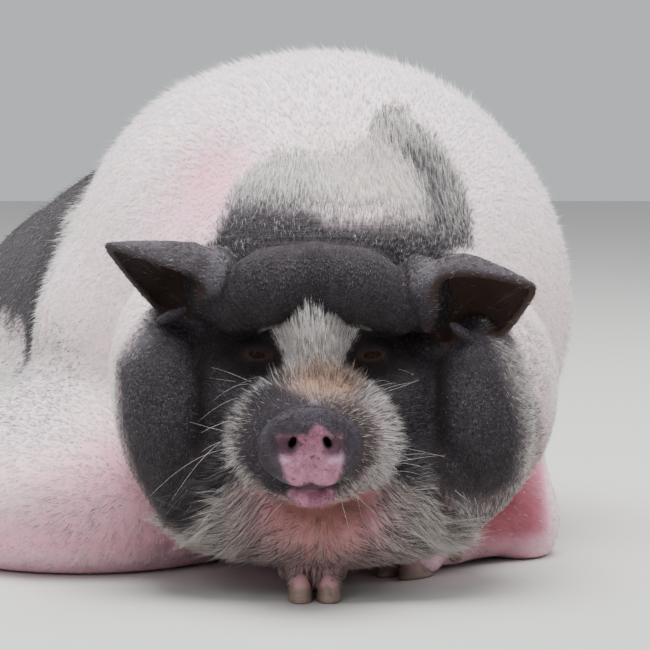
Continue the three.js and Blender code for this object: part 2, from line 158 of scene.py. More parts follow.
def along(s, l, z):
    """s behind the withers, l to the pig's left of its spine, z above the floor."""
    a = math.radians(TRUNK_YAW)
    return (
        TRUNK_START[0] - math.sin(a) * s + math.cos(a) * l,
        TRUNK_START[1] + math.cos(a) * s + math.sin(a) * l,
        z,
    )


def trunk(p):
    lie = {"turn": TRUNK_YAW}
    barrel = egg(p, along(220, 0, 200), (236, 250, 218), **lie)
    barrel = join(barrel, egg(p, along(380, 0, 178), (215, 210, 186), **lie), 60)
    barrel = join(barrel, egg(p, along(490, 0, 160), (192, 180, 162), **lie), 60)
    barrel = join(barrel, egg(p, along(200, -110, 92), (175, 260, 98), **lie), 50)
    barrel = join(barrel, egg(p, along(230, 110, 92), (165, 260, 98), **lie), 50)
    shoulders = egg(p, (86, -82, 241), (260, 285, 261))
    shoulders = join(shoulders, egg(p, (-64, -75, 195), (150, 185, 160)), 40)
    shoulders = join(shoulders, egg(p, (20, -85, 290), (184, 230, 194)), 16)
    shoulders = join(shoulders, egg(p, (100, -220, 110), (195, 160, 112)), 50)
    shoulders = join(shoulders, egg(p, (81, -340, 290), (150, 120, 100)), 70)
    fold = 12 + 40 * np.clip((p[:, 0] + 60) / 120, 0, 1)                # deep on its right only
    d = join(shoulders, barrel, fold)
    return join(d, egg(p, (-148, -158, 64), (190, 228, 114)), 36)


def ahead(at, heading, front, side, up):
    """A place in front of, beside and above a foot that is turned by heading from -Y."""
    a = math.radians(heading)
    x = at[0] + math.sin(a) * front + math.cos(a) * side
    y = at[1] - math.cos(a) * front + math.sin(a) * side
    return (x, y, at[2] + up)


FEET = {
    "fore_left": ((172, -340, 0), -38),
    "fore_right": ((80, -474, 0), 2),
    "hind_left": (along(292, 290, 0), TRUNK_YAW - 4),
    "hind_right": (along(292, -290, 0), TRUNK_YAW + 4),
}


def toes(p, foot):
    at, heading = FEET[foot]
    lobes = [
        egg(p, ahead(at, heading, -6, side * 13, 15), (14, 27, 17), turn=heading)
        for side in (-1, 1)
    ]
    behind = ahead(at, heading, -38, 0, 24)
    dews = [limb(p, behind, ahead(at, heading, -38, side * 17, 21), 18, 10) for side in (-1, 1)]
    return join(join(*lobes, 6), join(*dews, 6), 6)


def legs(p):
    arm = egg(p, (277, -200, 66), (43, 70, 102), roll=-8)
    arm = join(arm, egg(p, (278, -215, 40), (46, 50, 42)), 20)
    pastern = ahead(*FEET["fore_left"], -22, 0, 23)
    left = join(limb(p, (268, -240, 34), (212, -290, 27), 32, 25), toes(p, "fore_left"), 8)
    left = join(left, limb(p, (212, -290, 27), pastern, 25, 20), 10)
    pastern = ahead(*FEET["fore_right"], -16, 0, 23)
    right = join(limb(p, (58, -362, 38), (73, -424, 32), 34, 27), toes(p, "fore_right"), 8)
    right = join(right, limb(p, (73, -424, 32), pastern, 27, 20), 10)
    return join(join(arm, left, 10), right, 10)


def hind_leg(p, side, foot):
    d = egg(p, along(445, side * 165, 105), (92, 165, 116), turn=TRUNK_YAW + side * 6)
    d = join(d, egg(p, along(320, side * 205, 66), (62, 90, 66), turn=TRUNK_YAW), 24)
    d = join(d, limb(p, along(400, side * 262, 34), along(480, side * 245, 38), 30, 36), 18)
    hock = along(350, side * 284, 25)
    d = join(d, limb(p, hock, along(430, side * 266, 28), 22, 27), 14)
    d = join(d, limb(p, ahead(*FEET[foot], -16, 0, 22), hock, 18, 22), 8)
    return join(d, toes(p, foot), 8)


EARS = {
    # base and tip from the eyes, the way the cup faces, where along it starts to narrow, half its
    # width, and how many degrees further round the upper edge wraps than the lower one
    "left": ((110, -6, 40), (206, -30, 64), (0.20, -0.93, -0.25), 0.42, 52, 4),
    "right": ((-104, -4, 58), (-197, -26, 104), (-0.25, -0.85, -0.45), 0.20, 48, 15),
}
# The lobe at the lower edge of each, with its roll, and the thick root.
LOBES = {"left": ((136, -26, 20), 38), "right": ((-131, -22, 37), -24)}
ROOTS = {"left": (97, 14, 54), "right": (-92, 16, 62)}
EAR_DEPTH = 34                  # into the cup
EAR_WALL = 5.4


def ear_shape(p, base, tip, opening, broad, wide, tilt):
    """Depth under the cone's face, place along it (0 to 1), the slant of its rim, its length."""
    base, tip, opening = (np.array(v, float) for v in (base, tip, opening))
    length = np.linalg.norm(tip - base)
    axis = (tip - base) / length
    opening -= axis * (opening @ axis)
    opening /= np.linalg.norm(opening)
    up = np.cross(axis, opening) * np.sign(np.cross(axis, opening)[2])
    q = from_eyes(p) - base.astype(np.float32)
    t = (q @ axis.astype(np.float32)) / length
    out = q @ opening.astype(np.float32)
    across = q @ up.astype(np.float32)
    tilt = math.radians(tilt)
    narrowing = (1 - t) / (1 - broad)
    taper = np.clip((1 + narrowing - np.sqrt((1 - narrowing) ** 2 + 0.03)) / 2, 0.001, 1) ** 0.85
    taper = taper * (0.72 + 0.28 * np.clip((t + 0.05) / 0.3, 0, 1))
    shell = (np.hypot(across / wide, out / EAR_DEPTH) - taper) * EAR_DEPTH * 0.85
    return shell, t, out * math.cos(tilt) - across * math.sin(tilt) - 16 * taper, length


def ear(p, *shape):
    """A cone of skin from base to tip, hollow, and open towards opening."""
    shell, t, rim, length = ear_shape(p, *shape)
    d = cut(shell, shell + EAR_WALL + 10 * np.clip(t - 0.78, 0, 1), 2)
    d = -join(-d, -rim, 3)
    d = -join(-d, (t + 0.06) * length, 4)
    return -join(-d, -(t - 0.97) * length, 4)


def in_cup(p, *shape):
    """Negative on the inner face of an ear, and how far along it that lies."""
    shell, t, _, _ = ear_shape(p, *shape)
    return shell + 0.25 * EAR_WALL, t


def whole_ear(p, name):
    """The cup, the thick root it grows from, and the lobe at its lower edge."""
    at, roll = LOBES[name]
    h = from_eyes(p)
    d = join(ear(p, *EARS[name]), egg(h, ROOTS[name], (26, 44, 36)), 18)
    return join(d, egg(h, at, (17, 9, 6), roll=roll), 9)


def tail(p):
    return limb(p, along(655, 0, 205), along(685, 20, 125), 15, 6)


def eyeballs(p):
    return egg(half_face(from_eyes(p)), EYE_AT, (EYE_RADIUS,) * 3)


def eye_slits(p):
    return egg(half_face(from_eyes(p)), (53, -14, -0.5), (8.5, 17, 2.9), roll=-7)


# Depth of the coat.
COAT_ON = {"body": 4.8, "face": 3.5, "jowls": 1.6, "nose": 0.4, "feet": 2.0}


def coat_depth(p):
    """How deep the skin lies under the tips of the coat, place by place."""
    h = from_eyes(p)
    on_face = np.clip((90 - h[:, 1]) / 90, 0, 1)
    depth = COAT_ON["body"] + (COAT_ON["face"] - COAT_ON["body"]) * on_face
    on_jowl = np.clip((np.abs(h[:, 0]) - 100) / 40, 0, 1) * np.clip((120 - h[:, 1]) / 30, 0, 1)
    depth = depth + (COAT_ON["jowls"] - depth) * on_jowl
    on_nose = np.clip((-92 - h[:, 1]) / 14, 0, 1)
    depth = depth * (1 - on_nose) + COAT_ON["nose"] * on_nose
    low = np.clip((55 - p[:, 2]) / 40, 0, 1)
    return depth * (1 - low) + COAT_ON["feet"] * low


def where(mask, form, p):
    """The form where the mask holds, and far away elsewhere."""
    d = np.full(len(p), 200, np.float32)
    if mask.any():
        d[mask] = form(p[mask])
    return d


def pig(p):
    """The whole skin, in millimetres, negative inside."""
    x, y, z = p.T
    d = join(trunk(p), where(y < -230, head, p), 14)
    behind = (y > -160) & (z < 300)             # each part is worked out near its own place only
    d = join(d, where(behind & (x > -200), lambda q: hind_leg(q, 1, "hind_left"), p), 18)
    d = join(d, where(behind & (x < 120), lambda q: hind_leg(q, -1, "hind_right"), p), 18)
    d = join(d, where((y < -60) & (z < 210), legs, p), 12)
    d = d + coat_depth(p)
    m = half_face(from_eyes(p))
    near_eyes = (m[:, 0] > 25) & (m[:, 0] < 85) & (m[:, 1] < 40) & (np.abs(m[:, 2]) < 30)
    d = cut(cut(d, where(near_eyes, eye_slits, p), 2), where(near_eyes, eyeballs, p), 1)
    near_ears = (z > 200) & (z < 375) & (y < -375)
    for name in EARS:
        side = near_ears & ((x < 60) if name == "right" else (x > 110))
        d = join(d, where(side, lambda q: whole_ear(q, name) + 0.6, p), 4)
    d = join(d, where(y > 380, tail, p), 10)
    return -join(-d, p[:, 2] - 0.6, 5)


def ticks(low, fine_from, fine_to, high, fine, coarse):
    """Grid lines, close together in the middle stretch and wide apart outside it."""
    middle = np.arange(fine_from, fine_to, fine)
    left = np.arange(fine_from, low - coarse, -coarse)[:0:-1]
    right = np.arange(middle[-1] + coarse, high + 2 * coarse, coarse)
    return np.concatenate([left, middle, right]).astype(np.float32)


def sampled(form, axes, block=8, batches=24):
    """The form at every grid point near its surface, and its bare sign elsewhere."""
    shape = [len(a) for a in axes]
    values = np.empty(shape, np.float32)
    starts = [np.arange(0, n, block) for n in shape]
    mids = [a[np.minimum(s + block // 2, len(a) - 1)] for a, s in zip(axes, starts)]
    spans = [a[np.minimum(s + block, len(a) - 1)] - a[s] for a, s in zip(axes, starts)]
    centre = np.stack(np.meshgrid(*mids, indexing="ij"), -1).reshape(-1, 3)
    radius = np.linalg.norm(np.stack(np.meshgrid(*spans, indexing="ij"), -1), axis=-1) / 2
    coarse = form(centre).reshape(radius.shape)
    near = np.abs(coarse) < radius * 1.3 + 4                            # with room to spare
    for (i, j, k), d in np.ndenumerate(coarse):
        a, b, c = starts[0][i], starts[1][j], starts[2][k]
        values[a:a + block, b:b + block, c:c + block] = 99 if d > 0 else -99
    wanted = np.zeros(shape, bool)
    for i, j, k in np.argwhere(near):
        a, b, c = starts[0][i], starts[1][j], starts[2][k]
        wanted[a:a + block, b:b + block, c:c + block] = True
    index = np.nonzero(wanted)
    points = np.stack([axis[n] for axis, n in zip(axes, index)], -1)
    values[index] = np.concatenate([form(part) for part in np.array_split(points, batches)])
    return values


def netted(values, axes):
    """Surface net of the sampled form: one point for each cell that the surface crosses."""
    inside = values < 0
    corners = [(i, j, k) for i in (0, 1) for j in (0, 1) for k in (0, 1)]
    n = [s - 1 for s in values.shape]
    count = sum(inside[i:i + n[0], j:j + n[1], k:k + n[2]].astype(np.int8) for i, j, k in corners)
    cells = np.argwhere((count > 0) & (count < 8))
    number = np.full(n, -1, np.int32)
    number[tuple(cells.T)] = np.arange(len(cells))
    total = np.zeros((len(cells), 3))
    hits = np.zeros(len(cells))
    for a in corners:
        for axis in range(3):
            if a[axis]:
                continue
            b = tuple(c + (m == axis) for m, c in enumerate(a))
            ia, ib = cells + a, cells + b
            va, vb = values[tuple(ia.T)], values[tuple(ib.T)]
            crossed = (va < 0) != (vb < 0)
            t = np.where(crossed, va / np.where(crossed, va - vb, 1), 0)
            pa = np.stack([x[m] for x, m in zip(axes, ia.T)], -1)
            pb = np.stack([x[m] for x, m in zip(axes, ib.T)], -1)
            total += np.where(crossed[:, None], pa + (pb - pa) * t[:, None], 0)
            hits += crossed
    quads = []
    for axis in range(3):
        u, v = [m for m in range(3) if m != axis]
        low = [slice(1, None)] * 3
        low[axis] = slice(0, -1)
        here = inside[tuple(low)]
        low[axis] = slice(1, None)
        there = inside[tuple(low)]
        e = np.argwhere(here != there)
        e[:, u] += 1
        e[:, v] += 1
        e = e[(e[:, u] < n[u]) & (e[:, v] < n[v])]
        ring = []
        for du, dv in ((1, 1), (0, 1), (0, 0), (1, 0)):
            c = e.copy()
            c[:, u] -= du
            c[:, v] -= dv
            ring.append(number[tuple(c.T)])
        quad = np.stack(ring, 1)
        flip = inside[tuple(e.T)] == (axis == 1)
        quad[flip] = quad[flip][:, ::-1]
        quads.append(quad)
    return total / hits[:, None], np.concatenate(quads)


def gradient(form, p, step=0.6):
    base = form(p)
    slopes = [form(p + step * np.eye(3, dtype=np.float32)[axis]) - base for axis in range(3)]
    return base, np.stack(slopes, -1) / step


def shown(name, data):
    """A new object in the scene."""
    thing = bpy.data.objects.new(name, data)
    bpy.context.scene.collection.objects.link(thing)
    return thing


ON_HEAD, ELSEWHERE = 2.3, 7.0   # spacing of the grid that the skin is drawn on
SKIN_TRIANGLES = 188000         # left of it once it is thinned
LARGEST_STEP = 1.5              # of a point on its way to the true surface
skin_axes = (
    # x, y and z: where the grid starts, where it is fine, and where it ends
    ticks(-390, -125, 305, 350, ON_HEAD, ELSEWHERE),
    ticks(-620, -615, -385, 505, ON_HEAD, ELSEWHERE),
    ticks(-8, -4, 350, 505, ON_HEAD, ELSEWHERE),
)
points, quads = netted(sampled(pig, skin_axes), skin_axes)
points = points.astype(np.float32)
distance, slope = gradient(pig, points)
steepness = np.maximum((slope * slope).sum(1), 0.2)
points -= slope * np.clip(distance / steepness, -LARGEST_STEP, LARGEST_STEP)[:, None]

skin_mesh = bpy.data.meshes.new("skin")
skin_mesh.vertices.add(len(points))
skin_mesh.vertices.foreach_set("co", (points / 1000).ravel())
skin_mesh.loops.add(quads.size)
skin_mesh.loops.foreach_set("vertex_index", quads.ravel().astype(np.int32))
skin_mesh.polygons.add(len(quads))
skin_mesh.polygons.foreach_set("loop_start", np.arange(0, quads.size, 4, dtype=np.int32))
skin_mesh.update(calc_edges=True)
skin = shown("skin", skin_mesh)

thin = skin.modifiers.new("thin", "DECIMATE")
thin.ratio = SKIN_TRIANGLES / (2 * len(quads))
graph = bpy.context.evaluated_depsgraph_get()
skin_mesh = bpy.data.meshes.new_from_object(skin.evaluated_get(graph))
skin.modifiers.clear()
skin.data = skin_mesh
skin_mesh.name = "skin"
skin_mesh.shade_smooth()

place = np.empty(len(skin_mesh.vertices) * 3, np.float32)
skin_mesh.vertices.foreach_get("co", place)
place = place.reshape(-1, 3) * 1000
seen = from_eyes(place)         # the same points from the eyes, and on one half of the face
half = half_face(seen)


# ---------------------------------------------------------------------------------------------
# Markings, worn by skin and coat alike: black head, nape and saddle, cream blaze, grey muzzle,
# pink elsewhere. Each is a soft-edged spot laid over the ones before it, and all are kept as
# values on the skin's points.

# Painted shade and painted sheen are kept with the markings, as values of their own.
BARE_PINK = {
    "black": 0,                 # pigment of the skin
    "pale": 1,                  # share of light hairs
    "blush": 0.34,              # blood under the skin
    "tan": 0,                   # how tan the light hairs are
    "frost": 0,                 # how white the tips of all hairs are
    "deep": 0,                  # painted shade: darkening of creases, sockets, cups and under the chin
    "cover": 0.62,              # share of the skin that fine flat hair hides
    "wrinkle": 0,               # height of the folds in it
    "bloom": 0,                 # grey of the skin with painted sheen, and a painted lilac highlight
}
paint = {name: np.full(len(place), value, np.float32) for name, value in BARE_PINK.items()}


def soft(distance, width):
    """1 well inside, 0 well outside, with an edge about as wide as width, in millimetres."""
    t = np.clip(0.5 - distance / (2 * width), 0, 1)
    return t * t * (3 - 2 * t)


def lay(mask, **values):
    """Moves the named values towards the given ones where the mask holds."""
    for name, value in values.items():
        paint[name] += (value - paint[name]) * mask


def line(at, *stops):
    """A border through (position, value) stops, straight between them."""
    return np.interp(at, *zip(*stops)).astype(np.float32)


def back_of_withers(p):
    a = math.radians(TRUNK_YAW)
    q = p[:, :2] - np.array(TRUNK_START, np.float32)
    back = -math.sin(a) * q[:, 0] + math.cos(a) * q[:, 1]
    return back, math.cos(a) * q[:, 0] + math.sin(a) * q[:, 1]


behind, beside = back_of_withers(place)
x, y, height = place.T

# Body: white over pink, flushed where it is pressed, greyer low down on the side of the saddle.
lay(soft(330 - height, 90), blush=0.16, cover=0.80)
lay(soft(height - 105, 60), blush=0.62, cover=0.45)
lay(soft(egg(place, (-20, -310, 350), (50, 100, 80)), 42), blush=1.25, cover=0.25)
lay(soft(egg(place, (-118, -360, 70), (70, 120, 60)), 40), blush=1.0, cover=0.30)
lay(soft(limb(place, (-48, -300, 418), (-100, -290, 332), 3, 3), 9), tan=0.5)
lay(soft(height - 58, 26) * soft(y + 250, 30), blush=1.15, cover=0.3)
lay(soft(x + 150, 36) * soft(np.abs(height - 180) - 52, 26),
    blush=0.1, cover=0.85, black=0.28, pale=0.84)
# Front of the arm under the jowl: crimson, partly its flush and partly painted shade.
front_of_arm = soft(x - 313, 12)
lay(soft(egg(place, (272, -255, 96), (50, 60, 90)), 24) * front_of_arm, blush=1.5, cover=0.15)
lay(soft(egg(place, (266, -265, 52), (44, 44, 60)), 24) * front_of_arm,
    blush=2.2, cover=0.1, deep=0.55)
lay(soft(egg(place, (234, -265, 40), (44, 50, 50)), 20), deep=0.75)
lay(soft(egg(place, (324, -200, 50), (13, 60, 74)), 9), blush=0.4, cover=0.75, deep=0)

fringe = 8 * np.sin(behind / 27 + 1) + 5 * np.sin(behind / 10.3 + 2) + 6 * np.sin(beside / 15)
fine_fringe = 4 * np.sin(beside / 6.1 + 1) + 9 * np.sin((behind + beside) / 41)
fringe += fine_fringe + 3 * np.sin((behind - beside) / 7)
border = 218 - 25 * np.clip((330 - height) / 60, 0, 1)
tongue = 36 * soft(np.abs(behind - 216) - 14, 12)
saddle = np.maximum(border - behind + fringe, 208 - tongue + fringe - height)
lay(soft(np.abs(saddle - 26) - 34, 20), black=0.45, pale=0.93, cover=0.72, blush=0.1)
lay(soft(saddle, 14), black=1, pale=0.03, blush=0, cover=0.3)
lay(soft(np.abs(saddle - 2) - 8, 9), pale=0.35, frost=0.6)
# Painted shade in a line across the saddle, where the shoulders meet the trunk.
lay(soft(np.abs(behind - 226 - 10 * np.sin(height / 40)) - 3, 6) * soft(saddle - 20, 10), deep=0.6)

# Throat, with painted shade under the chin, and the white rims of the jowls.
chin_floor = line(
    seen[:, 0],
    (-190, -96), (-170, -138), (-128, -160), (-100, -152), (-76, -112), (0, -104),
    (78, -112), (104, -124), (126, -146), (160, -150), (190, -132), (205, -90),
)
right_rim = line(seen[:, 2], (-146, 180), (-118, 204), (-70, 210), (-50, 205), (6, 187), (40, 166))
left_rim = line(
    seen[:, 2],
    (-140, -151), (-121, -162), (-94, -173), (-60, -181), (-10, -184), (15, -168), (40, -150),
)
to_rim = np.maximum(left_rim - seen[:, 0], seen[:, 0] - right_rim + np.maximum(seen[:, 1] - 40, 0))
to_rim = np.maximum(to_rim, seen[:, 1] - 95)
throat = soft(np.maximum(seen[:, 1] - 60, seen[:, 2] + 90), 40)
# Painted shade under the chin, deepest in its middle and faint on the side locks.
lay(throat, black=0.7, pale=0.74, blush=0.9, tan=0.3, cover=0.6, deep=0.3)
lay(soft(egg(seen, (8, -20, -142), (56, 90, 36)), 30),
    blush=1.7, tan=0.5, cover=0.12, black=0.05, pale=1, deep=1)
side_locks = soft(np.abs(half[:, 0] - 110) - 44, 26) * soft(seen[:, 2] + 108, 18)
lay(side_locks * soft(seen[:, 1] - 70, 20),
    blush=0.3, tan=0.16, cover=0.8, pale=0.52, black=0.85, frost=0.85, deep=0.15)

# Head: black up to the rims of the jowls and the nape.
head_top = line(seen[:, 0], (-125, 84), (-84, 104))
on_head = soft(np.maximum(np.maximum(to_rim, chin_floor - seen[:, 2]), seen[:, 2] - head_top), 8)
lay(on_head, black=1, pale=0.01, blush=0, tan=0, cover=0.30, frost=0.03)
jowls = soft(np.abs(half[:, 0] - 145) - 42, 14) * soft(seen[:, 2] - 20, 20) * on_head
lay(jowls, pale=0, cover=0.3, frost=0.02)
rim_frost = np.maximum(to_rim, chin_floor - seen[:, 2])
rim_frost = soft(np.abs(rim_frost + 8) - 9, 12) * soft(110 - seen[:, 0], 30) * on_head
lay(rim_frost, pale=0.5, frost=1.0, black=0.85, tan=0.12)
# Grey hair with painted sheen at the top of the right jowl.
lay(soft(egg(seen, (-168, 15, 18), (30, 60, 26)), 12) * on_head * 0.8, pale=0.3, frost=0.2, bloom=0.6)
lay(soft(egg(seen, (190, 20, -10), (26, 60, 44)), 12) * 0.7, pale=0.6, frost=0.4)

# Nape: a dark band over the brow, white-tipped above, cream in the middle, grey to its left.
nape_left = line(height, (300, -26), (322, -18), (359, -2), (375, 6), (390, 24), (399, 43))
nape_right = line(
    height, (300, 242), (319, 232), (346, 229), (370, 222), (397, 206), (417, 190), (436, 166),
)
nape_top = line(x, (-20, 362), (42, 400), (94, 398), (128, 406), (142, 436), (200, 440))
nape = np.maximum(np.maximum(nape_left - x, x - nape_right), height - nape_top)
nape = np.maximum(nape, y + 190)
nape = np.maximum(nape, 316 - height)
on_nape = soft(nape, 7 + 9 * np.clip((height - 385) / 30, 0, 1))
lay(on_nape, black=1, pale=0.06, blush=0, tan=0, cover=0.5, frost=0.12)
frost_line = line(x, (20, 362), (76, 358), (92, 345), (190, 340))
frosted = soft(frost_line - height, 11) * on_nape
lay(frosted, black=0.75, pale=0.62, frost=1.0, cover=0.7)
lay(frosted * soft(frost_line + 22 - height, 14), black=0.65, pale=0.8)
cream_left = line(height, (340, 108), (410, 76))
grey_side = line(height, (336, 191), (365, 187), (390, 174), (407, 158), (432, 144))
cream = np.maximum(np.maximum(cream_left - x, x - grey_side), height - 414)
cream = soft(cream, 20) * soft(352 - height, 9) * soft(y + 180, 20)
lay(cream, black=0.28, pale=0.95, blush=0.2, tan=0.2, cover=0.75, frost=0.9)
grey_band = soft(grey_side - x, 10) * soft(330 - height, 10) * on_nape
lay(grey_band, black=1, pale=0.34, tan=0, blush=0, cover=0.5, frost=0.5)
lay(grey_band * soft(np.abs(x - grey_side - 9) - 9, 6), pale=0.08, frost=0.12)
lay(grey_band * soft(408 - height, 20), pale=0.75, frost=0.9, black=0.6)
wrinkled = soft(np.abs(height - 338) - 14, 8) * soft(np.abs(x - 84) - 80, 20) * soft(y + 330, 10)
lay(wrinkled, wrinkle=1, pale=0.06, cover=0.35)

# Brow, sockets and creases, all with painted shade, darkest in the sockets and under the brow.
forehead = soft(brow(half) - 1, 3)
lay(forehead, black=1, pale=0, cover=0.3, frost=0.02, blush=0, tan=0)
brow_crease = soft(np.abs(brow(half) - 1.5) - 3, 3) * on_head
lay(brow_crease, deep=0.6, pale=0.02, cover=0.2)
lay(forehead * soft(80 - seen[:, 2], 16), wrinkle=0.5)
lay(forehead, deep=0.15)
sockets = soft(egg(half, (58, 0, -3), (38, 40, 24), roll=4), 9)
lay(sockets, deep=0.85, pale=0, cover=0.15, black=1, tan=0, frost=0)
lay(soft(egg(half, (52, -8, -1), (14, 22, 6)), 5), deep=0.75, tan=0.12)
under_brow = soft(np.abs(seen[:, 2] - (27 - 0.16 * half[:, 0])) - 5, 6)
under_brow = under_brow * soft(np.abs(half[:, 0] - 75) - 42, 8)
lay(under_brow * soft(seen[:, 1] - 20, 10), deep=0.8, pale=0.02)
crease_at = line(seen[:, 0], (0, 99), (1, 112)) + 4
crease = soft(np.abs(half[:, 0] - crease_at) - 8, 8) * soft(np.abs(seen[:, 2] + 70) - 74, 16)
crease = crease * soft(seen[:, 1] - 60, 10)
lay(crease, deep=0.75, pale=0.01, cover=0.2, frost=0)

# Blaze, tan bridge and the ring of the muzzle, dark on its right side and pale on its left.
blaze_top = 31 - half[:, 0] * 0.12
blaze = np.maximum(half[:, 0] - (24 + (seen[:, 2] + 11) * 0.52), seen[:, 2] - blaze_top)
blaze = np.maximum(np.maximum(blaze, -50 - seen[:, 2]), seen[:, 1] - 20)
forelock = egg(seen, (-5, -30, 32), (8, 50, 7))
lay(soft(blaze, 4), black=0.85, pale=0.96, blush=0, tan=0.05, cover=0.85, frost=0.6, deep=0)
lay(soft(forelock, 4), pale=0.85, frost=0.8)
bridge = soft(egg(seen, (5, -36, -27), (38, 50, 20)), 10)
muzzle_ring = np.hypot((seen[:, 0] + 3) / 82, (seen[:, 2] + 70) / 60) * 66 - 66
ring = soft(muzzle_ring, 9) * soft(seen[:, 1] + 48, 16) * soft(-118 - seen[:, 2], 14)
to_left = soft(4 - seen[:, 0], 24)
round_disc = ring * soft(seen[:, 2] + 32, 9)
lay(round_disc, black=1, pale=0.12, blush=0.1, tan=0.06, cover=0.35, frost=0.3, deep=0)
lay(round_disc * to_left, black=0.8, pale=0.85, blush=0.2, frost=1.0)
outer_fringe = soft(np.abs(muzzle_ring + 5) - 5, 6) * soft(-118 - seen[:, 2], 14)
outer_fringe = outer_fringe * soft(seen[:, 1] + 40, 16)
lay(outer_fringe * soft(seen[:, 2] + 25, 9), black=0.75, pale=0.9, frost=1.0, deep=0)
near_disc = soft(np.hypot((seen[:, 0] + 12) / 70, (seen[:, 2] + 70) / 53) * 56 - 56, 5)
near_disc = near_disc * soft(seen[:, 1] + 66, 12)
lay(near_disc, black=1, pale=0.04, frost=0.05, tan=0, cover=0.2)
lay(near_disc * to_left * 0.8, pale=0.35, frost=0.5, tan=0.2)
lay(bridge, black=0.9, pale=0.62, tan=0.9, cover=0.75, deep=0, frost=0)
lay(soft(egg(seen, (-34, -60, -40), (27, 40, 15)), 6), black=1, pale=0.03, tan=0, frost=0, cover=0.2)
lay(soft(egg(seen, (-1, -60, -45), (6, 50, 13)), 4), black=0.6, pale=0.95, tan=0, frost=0.6)

# Ears: grey-haired backs with painted sheen, bare dark insides with painted shade.
ears = np.minimum(*[ear(place, *EARS[side]) for side in EARS])
on_ears = soft(ears - 5, 4)
lay(on_ears, black=1, pale=0.05, blush=0, tan=0, frost=0.0, cover=0.35, bloom=0.45)
for name, at_root, at_tip, tan in (("left", 0.85, 0.75, 0.16), ("right", 0.95, 0.10, 0.10)):
    cup, outwards = in_cup(place, *EARS[name])
    deep = line(outwards, (0.25, at_root), (0.8, at_tip))
    lay(soft(cup, 1.5) * on_ears, deep=deep, pale=0.12, frost=0, tan=tan, cover=0.3, bloom=0)
on_lobes = [soft(egg(seen, at, (19, 12, 9), roll=roll), 4) for at, roll in LOBES.values()]
for on_lobe in on_lobes:
    lay(on_lobe, pale=0, frost=0, cover=0.1, deep=0.1)
# The tail is black with a pale tassel.
lay(soft(tail(place) - 6, 4), black=1, pale=0.10)
lay(soft(height - 26, 10) * soft(-trunk(place) - 20, 6), blush=0.8)

# Nose disc: slate rim, pink front, nostrils dark with painted shade, painted shade on its sides.
nostrils = soft(egg(half, radii=(3.8, 26, 6.6), **NOSTRIL), 2)
basins = soft(egg(half, (21, -128, -70), (10, 26, 9), roll=-20), 4)
on_disc = soft(pad(half, half=(48.5, 18, 37.5), **NOSE_DISC) - 1, 2.5)
pink_left = line(seen[:, 2], (-103, -22), (-98, -26), (-83, -31), (-65, -34))
pink_right = line(seen[:, 2], (-103, 17), (-98, 22), (-83, 26), (-65, 25))
pink_top = -60 + 10 * np.exp(-((seen[:, 0] - 3) / 8) ** 2)
disc_pink = np.maximum(pink_left - seen[:, 0], seen[:, 0] - pink_right)
disc_pink = soft(np.maximum(disc_pink, seen[:, 2] - pink_top), 3)
disc_side_shade = soft(29 - half[:, 0], 5) * soft(seen[:, 2] + 52, 8)
# The lower lip is mauve, its pink partly toned down as painted shade under the disc.
lip = soft(egg(half, (0, -98, -120), (24, 26, 12)), 4)
nose = np.maximum(on_disc, lip)
lay(nose, deep=0)
# Painted shade on the disc's sides, along its lower edge and in the mouth line.
lay(on_disc * disc_side_shade * (1 - disc_pink), deep=0.35)
notch = 5 * np.exp(-((seen[:, 0] + 4) / 6) ** 2)
lay(on_disc * soft(seen[:, 2] + 106 - notch, 1.2), deep=0.9)
slate_fringe = (1 - disc_pink) * on_disc * soft(-98 - seen[:, 2], 4)
lay(slate_fringe, pale=0, frost=0, deep=0.45)
# Painted lilac highlight on the ridges under the nostrils.
lay(soft(egg(half, (26, -128, -82), (9, 26, 3), roll=-12), 4) * disc_pink, bloom=0.35)
lay(basins * on_disc, deep=0.7)
lay(nostrils * on_disc, deep=1)
mouth = soft(np.abs(seen[:, 2] + 109 + np.abs(seen[:, 0] + 4) * 0.12) - 2, 2)
mouth = mouth * soft(seen[:, 1] + 86, 8)
lay(mouth * soft(np.abs(seen[:, 0]) - 44, 8), deep=0.8)
# The basins' pink is drawn towards slate as painted shade.
face_values = {"nose": nose, "nose_pink": np.maximum(disc_pink - 0.25 * basins, lip * 0.6)}

# The grain runs with the hair: out from the nose over the head, straight down the jowls, back
# along the trunk. Along the hair it changes slowly, across it quickly.
GRAIN_ROUND = 0.15              # metres from the nose, where it is as fine as on the trunk
from_nose = seen - np.array([8, 0, -60], np.float32)
turn_about = np.arctan2(from_nose[:, 2], from_nose[:, 0])
from_nose_tip = np.hypot(from_nose[:, 0], from_nose[:, 2]) + 0.8 * (from_nose[:, 1] + 115)
round_nose = np.stack([
    GRAIN_ROUND * np.cos(turn_about), GRAIN_ROUND * np.sin(turn_about), from_nose_tip * 0.00010,
], 1)
down_jowls = place * np.array([0.001, 0.001, 0.00012], np.float32)
trunk_way = np.array([-math.sin(math.radians(TRUNK_YAW)), math.cos(math.radians(TRUNK_YAW)), -0.45])
trunk_way = (trunk_way / np.linalg.norm(trunk_way)).astype(np.float32)
down_trunk = (place - 0.88 * (place @ trunk_way)[:, None] * trunk_way) * 0.001
on_shoulder_fold = (x < -60) & (height < 215) & (y > -400)
grain = np.where(((y < -150) & ~on_shoulder_fold)[:, None], round_nose, down_trunk)
grain = np.where((jowls > 0.5)[:, None], down_jowls, grain).astype(np.float32)


def store(mesh, name, values):
    """Keeps a number or a vector on each point of a mesh."""
    values = np.asarray(values, np.float32)
    kind, part = ("FLOAT_VECTOR", "vector") if values.ndim == 2 else ("FLOAT", "value")
    mesh.attributes.new(name, kind, "POINT").data.foreach_set(part, values.ravel())


store(skin_mesh, "grain", grain)
for name, values in {**paint, **face_values}.items():
    store(skin_mesh, name, values)


